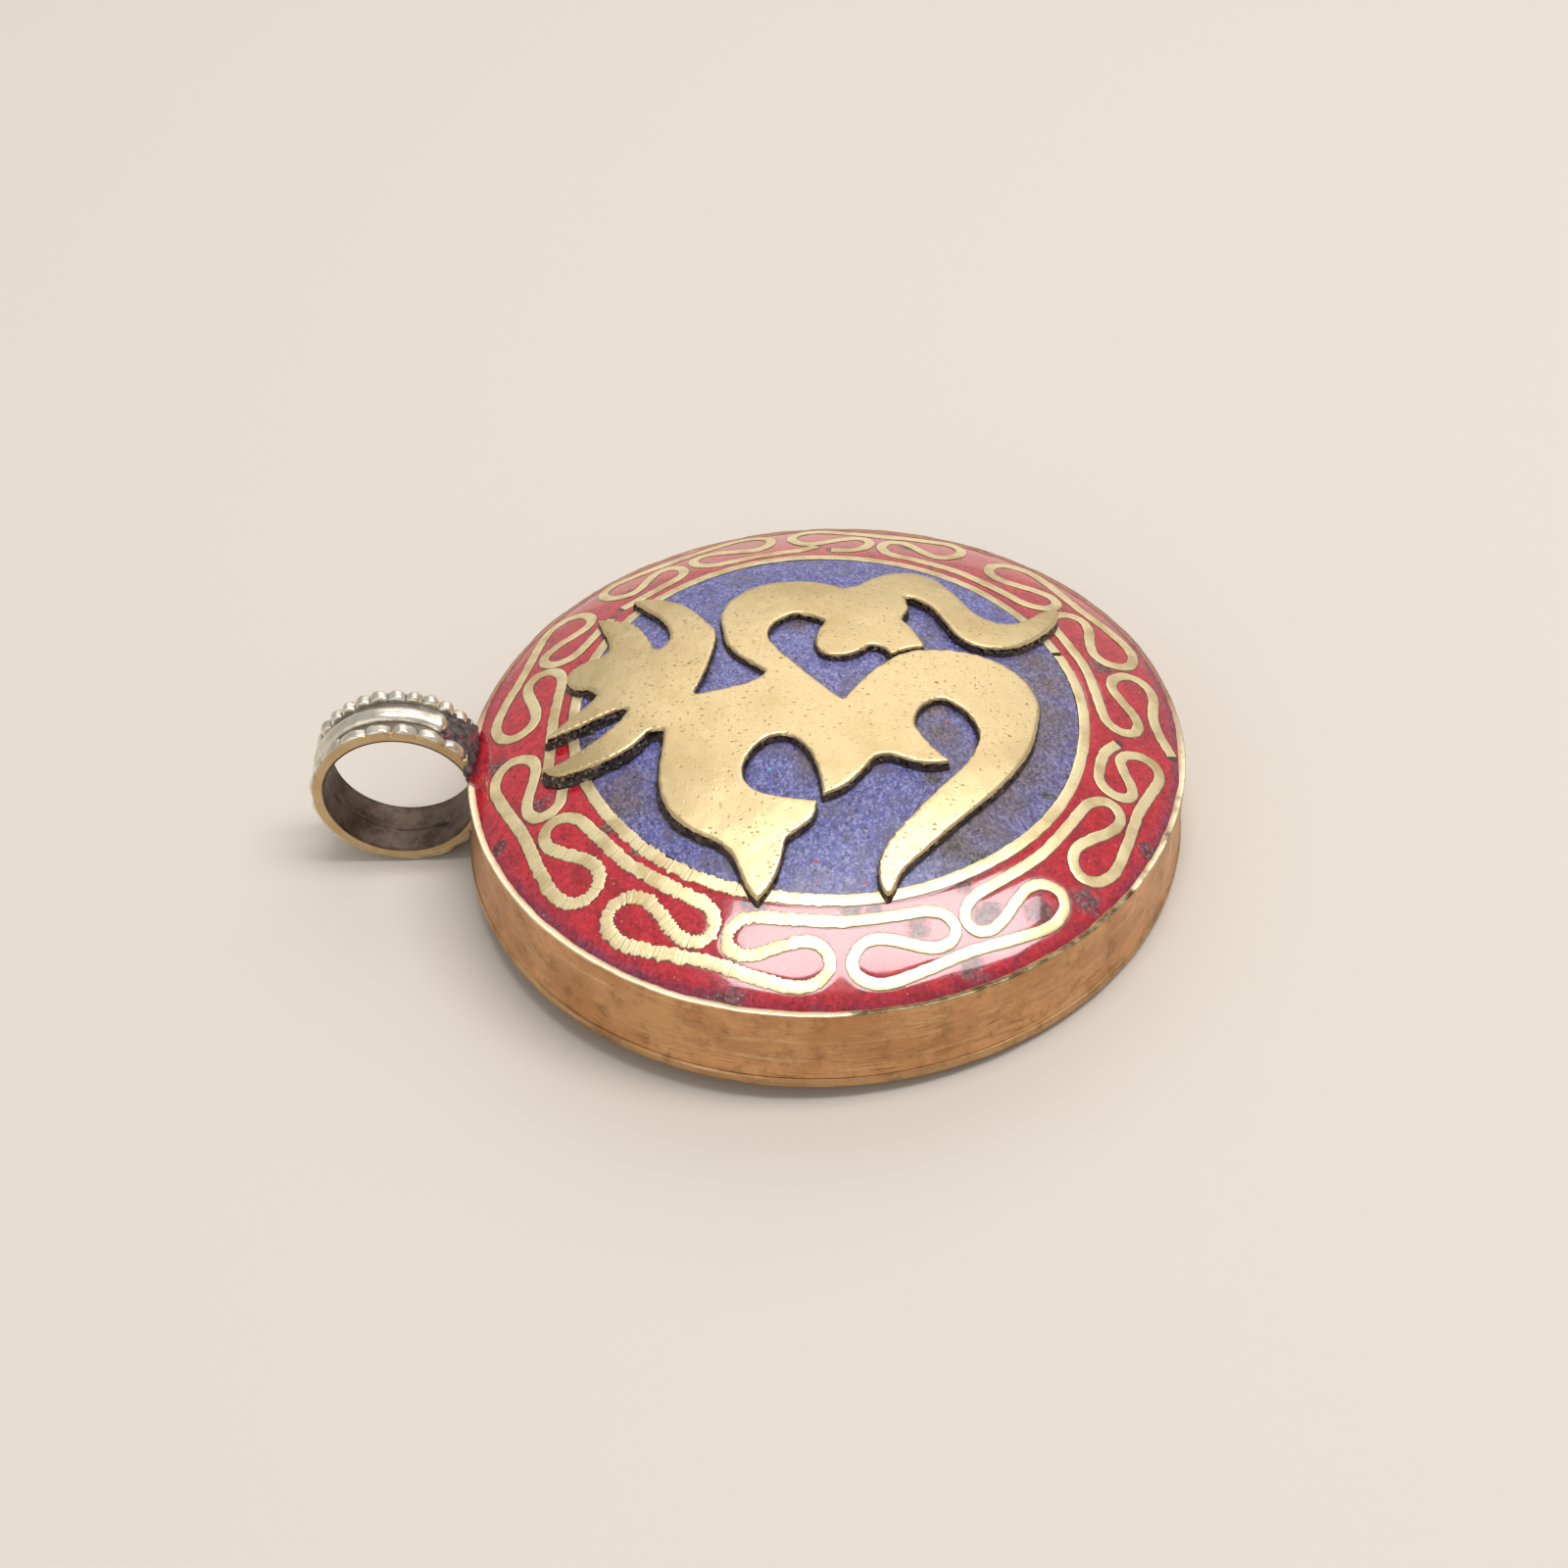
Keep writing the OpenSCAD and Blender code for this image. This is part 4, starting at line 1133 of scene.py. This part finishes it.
# The rim's top edge, where the finish paints a bright line as a highlight.
mark(band, "edge", held((height_share - 0.95) / 0.04))
mark(band, "dull", held((band_turn - 178) / 14) * np.clip((250 - band_turn) / 30, 0.35, 1))
# Where the painted highlight on the rim turns darker and redder, on the far side.
mark(band, "far", held((band_places[:, 0] + 3 * MM) / (8 * MM)))
mark(band, "rubbed", held(1.3 - height_share * 1.9) * beside(band_turn, 200, 45, 1.5))
mark(band, "smear", beside(band_turn, 91, 7, 1.35) * held((height_share - 0.8) * 6))
place(band, hand_oval(band_places))
finish_piece(band, "case", BAND_BRASS, "brass_band", "side_band", angle=50)

PLATE_ROUND = 0.26 * MM
plate_corners = [(0, 0, "axis"), (BACK_R, 0), (BACK_R, BACK_T), (0, BACK_T, "axis")]
plate_profile = rounded_profile(plate_corners, PLATE_ROUND)
plate = from_profile("back_sheet", subdivide(plate_profile, 0.8 * MM, closed=False), 480, closed=False)
plate_places = numbers(plate)
sideways = normals(plate) * [1, 1, 0]
plate_places += sideways * (rumple(plate_places, 3 * MM, 0.05 * MM, 16) - 0.02 * MM)[:, None]
place(plate, hand_oval(plate_places))
for mark_name in DRUM_MARKS:
    mark(plate, mark_name, np.zeros(len(plate_places)))
finish_piece(plate, "back_cover", BACK_BRASS, "brass_back", "back_plate", angle=50)

# %% [markdown]
# ## The bail
#
# The bail is a strip bent to a loop, with a half-round wire along the middle and a scalloped wire along
# each edge, nearly square in section. Each section is turned about X, round the loop, and the vertices
# then swell and shrink along the turn, which makes the scallops. The middle wire ends in a small curl
# before the joint. Where the loop would enter the drum it is cut off.

# %% Bail parts
BAIL_LOW, BAIL_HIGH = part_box("bail_edge_wire_left")
strip_low, strip_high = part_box("bail_strip")
BAIL_TOP_R = (BAIL_HIGH.z - BAIL_LOW.z) / 2
BAIL_OUT_R = (strip_high.z - strip_low.z) / 2
BAIL_Y = strip_high.y - BAIL_OUT_R
BAIL_Z = (strip_high.z + strip_low.z) / 2
BAIL_W = strip_high.x - strip_low.x
BAIL_WALL = 0.5 * MM
STRIP_ROUND = 0.06 * MM
PLATE_GAP = 0.15 * MM
TURN_TO_X = Matrix.Rotation(math.pi / 2, 4, "Y")


def bail_turned(name, profile, steps=400):
    """Turns a (radius, sideways) profile and lays its axis along X at the bail's centre."""
    piece = from_profile(name, profile, steps)
    piece.data.transform(Matrix.Translation((0, BAIL_Y, BAIL_Z)) @ TURN_TO_X)
    return piece


def round_bail(piece):
    """Each vertex's place, angle round the loop, distance from its axis and outward direction."""
    at = numbers(piece)
    y, z = at[:, 1] - BAIL_Y, at[:, 2] - BAIL_Z
    r = np.hypot(y, z)
    return at, np.arctan2(z, y), r, np.stack([np.zeros(len(r)), y / r, z / r], 1)


def cut_at_drum(piece):
    """Takes away what would lie in the drum, or in the way of the back plate's edge."""
    for radius, low, high in ((CASE_R + 0.02 * MM, BACK_T + PLATE_GAP, CROWN_Z),
                              (BACK_R + PLATE_GAP, BAIL_LOW.z - MM, BACK_T + PLATE_GAP)):
        bpy.ops.mesh.primitive_cylinder_add(vertices=360, radius=radius, depth=high - low,
                                            location=(0, 0, (low + high) / 2))
        tool = bpy.context.object
        modifier = piece.modifiers.new("cut", "BOOLEAN")
        modifier.operation = "DIFFERENCE"
        modifier.object = tool
        apply_all(piece)
        bpy.data.objects.remove(tool)


def ellipse_profile(centre_r, half_r, centre_x, half_x, count=22, square=1.0):
    """An ellipse's section, nearer to a rectangle where square is below 1."""
    found = []
    for a in np.linspace(0, 2 * math.pi, count, endpoint=False):
        c, d = math.cos(a), math.sin(a)
        found.append((centre_r + half_r * math.copysign(abs(c) ** square, c),
                      centre_x + half_x * math.copysign(abs(d) ** square, d)))
    return found


strip_corners = [(BAIL_OUT_R - BAIL_WALL, -BAIL_W / 2), (BAIL_OUT_R, -BAIL_W / 2),
                 (BAIL_OUT_R, BAIL_W / 2), (BAIL_OUT_R - BAIL_WALL, BAIL_W / 2)]
strip = bail_turned("bail_loop", subdivide(rounded_profile(strip_corners, STRIP_ROUND), 0.3 * MM))
at, _, r, out = round_bail(strip)
inside = r < BAIL_OUT_R - BAIL_WALL * 0.6
place(strip, at + out * (rumple(at, 2.2 * MM, 0.05 * MM, 17) * ~inside)[:, None])
cut_at_drum(strip)

EDGE_W = BAIL_HIGH.x - BAIL_LOW.x
SCALLOP_DEPTH = 0.42 * MM
NOTCH_NARROWER = 0.04 * MM
EDGE_EXTRA = 0.10 * MM


def on_circle(way):
    """Turns round the loop as places on a circle, so that noise along it has no seam."""
    return np.stack([np.cos(way), np.sin(way), way * 0], 1)


def humps_round(way, humps, seed, flat):
    """How high the edge stands at each turn round the loop: 0 in a notch, 1 on a hump."""
    return np.abs(np.sin(way * humps / 2 + rumple(on_circle(way), 0.45, 0.5, seed))) ** flat


def scalloped(name, side, humps, seed, flat):
    """A scalloped edge wire: humps round the loop, each a little different."""
    centre_x = side * (BAIL_W / 2 - EDGE_W / 2)
    half_r = (BAIL_TOP_R + EDGE_EXTRA - BAIL_OUT_R + BAIL_WALL * 0.5) / 2
    centre_r = BAIL_TOP_R + EDGE_EXTRA - half_r
    wire = bail_turned(name, ellipse_profile(centre_r, half_r, centre_x, EDGE_W / 2, 28, 0.6), 640)
    at, way, r, out = round_bail(wire)
    low = 1 - humps_round(way, humps, seed, flat)
    tall = 1 + rumple(on_circle(way), 0.3, 0.9, seed + 2)
    outer_share = held((r - centre_r + half_r) / (2 * half_r))
    across = (at[:, 0] - centre_x) / (EDGE_W / 2)
    upper = np.clip(0.6 + np.sin(way) * 0.9, 0.3, 1)
    at = at - out * (SCALLOP_DEPTH * low * outer_share * tall * upper)[:, None]
    at[:, 0] -= across * NOTCH_NARROWER * low * outer_share * upper
    at += out * ((rumple(at, 0.9 * MM, 0.13 * MM, seed + 1) - 0.02 * MM) * outer_share)[:, None]
    at[:, 0] += rumple(at, 1.1 * MM, 0.08 * MM, seed + 3) * outer_share
    place(wire, at)
    return wire


# Count of humps, the seed of their unevenness and how flat they are, for each edge wire
HUMPS = {"bail_scallops_left": (20, 18, 0.55), "bail_scallops_right": (30, 20, 0.8)}
edge_left, edge_right = (scalloped(name, side, *HUMPS[name]) for name, side in zip(HUMPS, (-1, 1)))
ridge_low, ridge_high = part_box("bail_ridge_wire")
ridge_half = (ridge_high.x - ridge_low.x) / 2
ridge_reach = (ridge_high.z - ridge_low.z) / 2 - BAIL_OUT_R
RIDGE_END_TURN = math.radians(51)
ridge_section = ellipse_profile(BAIL_OUT_R, ridge_reach, 0, ridge_half)
ridge = from_profile("bail_ridge", ridge_section, 300, arc=2 * math.pi - 2 * RIDGE_END_TURN)
ridge.data.transform(Matrix.Translation((0, BAIL_Y, BAIL_Z)) @ TURN_TO_X
                     @ Matrix.Rotation(RIDGE_END_TURN - math.pi / 2, 4, "Z"))
at, way, r, out = round_bail(ridge)
from_joint = np.minimum(np.abs(way - math.pi), np.abs(way + math.pi)) - RIDGE_END_TURN
tip = np.sqrt(np.clip(1 - (1 - held(from_joint * BAIL_OUT_R / (0.7 * MM))) ** 2, 0.0004, 1))
curl = 1 + 0.30 * np.exp(-((from_joint * BAIL_OUT_R / MM - 0.75) / 0.45) ** 2)
at += out * ((r - BAIL_OUT_R) * (tip * curl - 1))[:, None]
at[:, 0] *= tip * curl
place(ridge, at + out * rumple(at, 1.5 * MM, 0.05 * MM, 22)[:, None])
for piece in (edge_left, edge_right, ridge):
    cut_at_drum(piece)

for piece, node in ((strip, "bail_strip"), (edge_left, "bail_edge_wire_left"),
                    (edge_right, "bail_edge_wire_right"), (ridge, "bail_ridge_wire")):
    at, way, r, out = round_bail(piece)
    notch = 1 - humps_round(way, *HUMPS[piece.name]) if piece.name in HUMPS else 0
    hollow = held(1 - (r - BAIL_OUT_R) / (0.22 * MM)) * (r > BAIL_OUT_R - 0.15 * MM)
    on_top = held((BAIL_W / 2 - 0.22 * MM - np.abs(at[:, 0])) / (0.1 * MM))
    mark(piece, "hollow", np.maximum(notch * 0.8, hollow * 0.75) * on_top)
    mark(piece, "bore", (r < BAIL_OUT_R - BAIL_WALL * 0.7).astype(float))
    at_side = held((np.abs(at[:, 0]) - BAIL_W / 2 + 0.30 * MM) / (0.12 * MM))
    mark(piece, "brass_edge", at_side * held((BAIL_TOP_R - 0.06 * MM - r) / (0.15 * MM)))
    finish_piece(piece, "case", BAIL_SILVER, "silvered_brass", node, angle=55)

# %% [markdown]
# ## Solder
#
# A lump of dark solder fills the corner between the loop and the rim, with red resin rubbed over it.
# Balls set close together and remeshed into one skin make such a lump, and noise roughens it.

# %% Solder
JOINT_TURN = 28
# Turn up the loop from the joint in degrees, place across the loop and radius in mm
SOLDER_BALLS = [
    (0, -1.9, 0.42), (0, -1.2, 0.58), (0, -0.4, 0.64), (0, 0.4, 0.64), (0, 1.2, 0.58), (0, 1.9, 0.42),
    (6, -1.8, 0.42), (6, -1.1, 0.54), (6, -0.3, 0.60), (6, 0.5, 0.60), (6, 1.3, 0.50), (7, 1.9, 0.40),
    (12, -1.6, 0.38), (12, -0.8, 0.50), (12, 0, 0.56), (12, 0.8, 0.50), (12, 1.6, 0.38),
    (18, -1.3, 0.32), (18, -0.6, 0.46), (18, 0.1, 0.50), (18, 0.9, 0.42), (18, 1.5, 0.3),
    (23, -0.9, 0.28), (23, -0.3, 0.40), (23, 0.4, 0.40), (23, 1.0, 0.28)]
# Place across the loop, height above the rim and radius in mm, for the balls against the band
RIM_BALLS = [
    (-2.3, -0.15, 0.34), (-1.5, 0.0, 0.42), (-0.7, 0.05, 0.46), (0.1, 0.05, 0.46), (0.9, 0.05, 0.44),
    (1.7, -0.05, 0.38), (2.3, -0.2, 0.30), (-2.35, -0.8, 0.26), (-2.35, -1.5, 0.22), (-2.3, -2.3, 0.20)]
blobs = [(x, (CASE_R - 0.05 * MM) / MM, RIM_Z / MM + up, size) for x, up, size in RIM_BALLS]
for turn_deg, x, size in SOLDER_BALLS:
    turn_rad = math.radians(JOINT_TURN + turn_deg)
    blobs.append((x, (BAIL_Y - BAIL_OUT_R * math.cos(turn_rad)) / MM,
                  (BAIL_Z + BAIL_OUT_R * math.sin(turn_rad)) / MM, size))
bpy.ops.object.select_all(action="DESELECT")
balls = []
for x, y, z, size in blobs:
    bpy.ops.mesh.primitive_ico_sphere_add(
        subdivisions=3, radius=size * MM, location=(x * MM, y * MM, z * MM))
    balls.append(bpy.context.object)
for ball in balls:
    ball.select_set(True)
bpy.ops.object.join()
solder = bpy.context.object
solder.name = "solder_lump"
bpy.ops.object.transform_apply(location=True, rotation=True, scale=True)
remesh(solder, 0.09 * MM, 12)
at = numbers(solder)
crusty = rumple(at, 0.7 * MM, 0.10 * MM, 23) + rumple(at, 0.3 * MM, 0.05 * MM, 24)
place(solder, at + normals(solder) * crusty[:, None])
finish_piece(solder, "case", DARK_SOLDER, "solder", "bail_solder", angle=60)

# %% [markdown]
# ## Solids that keep their shape
#
# The domed plate, the lac bed, the collar, the rolled prayer and its thread are seen only when the box
# is open. Their shapes are right as they are, so they only get their finishes.

# %% Carried solids
for node, material in (("dome_plate", BACK_BRASS), ("back_collar", BACK_BRASS), ("lac_bed", BLACK_LAC),
                       ("prayer_scroll", ROLLED_PAPER), ("scroll_tie", RED_THREAD)):
    nodes[node].data.materials.clear()
    nodes[node].data.materials.append(material)

# %% [markdown]
# ## Floor and light
#
# The bail reaches lower than the back plate, so the box lies propped on it, two degrees off level. The
# object's frame stays as it is, and the floor is tilted instead, to touch the loop and the far edge of
# the plate. A wide softbox hangs overhead, where the near border mirrors it, and a large lamp and a pale
# room fill the shadows. The Standard view transform keeps red, blue and brass as strong as they are.

# %% Floor
FLOOR_GAP = 0.06 * MM
reach = BAIL_Y + BACK_R
rest_r = BAIL_TOP_R + EDGE_EXTRA + FLOOR_GAP
drop_angle = math.asin(rest_r / math.hypot(reach, BAIL_Z)) - math.atan2(BAIL_Z, reach)
bpy.ops.mesh.primitive_plane_add(size=3)
floor = bpy.context.object
floor.name = "floor"
floor.data.transform(Matrix.Translation((0, -BACK_R, 0)) @ Matrix.Rotation(-drop_angle, 4, "X"))
floor_finish = Finish("pale_floor")
floor.data.materials.append(floor_finish.done(base_color=(0.66, 0.61, 0.545), roughness=0.7))
print("floor tilt, degrees:", round(math.degrees(drop_angle), 2))


# %% Lights
def softbox(name, place_mm, aim_mm, size_mm, power, colour=(1, 1, 1)):
    """A rectangular lamp at a place, aimed at a point of the object."""
    bpy.ops.object.light_add(type="AREA")
    lamp = bpy.context.object
    lamp.name = name
    lamp.data.shape = "RECTANGLE"
    lamp.data.size = size_mm[0] * MM
    lamp.data.size_y = size_mm[1] * MM
    lamp.data.energy = power
    lamp.data.color = colour
    at_point = Vector(place_mm) * MM
    aim = (Vector(aim_mm) * MM - at_point).to_track_quat("-Z", "Y")
    lamp.matrix_world = Matrix.Translation(at_point) @ aim.to_matrix().to_4x4()


softbox("overhead", (4, -122, 610), (0, -20, 0), (178, 546), 2.6)
softbox("window", (520, -40, 470), (0, 0, 0), (680, 480), 0.95, (1.0, 0.96, 0.90))
softbox("fill", (-520, 330, 330), (0, 0, 0), (420, 420), 0.5, (1.0, 0.95, 0.88))
world = bpy.data.worlds.new("room")
bpy.context.scene.world = world
world.use_nodes = True
room = world.node_tree.nodes["Background"]
room.inputs["Color"].default_value = (1.0, 0.97, 0.93, 1)
room.inputs["Strength"].default_value = 0.50
bpy.context.scene.view_settings.view_transform = "Standard"
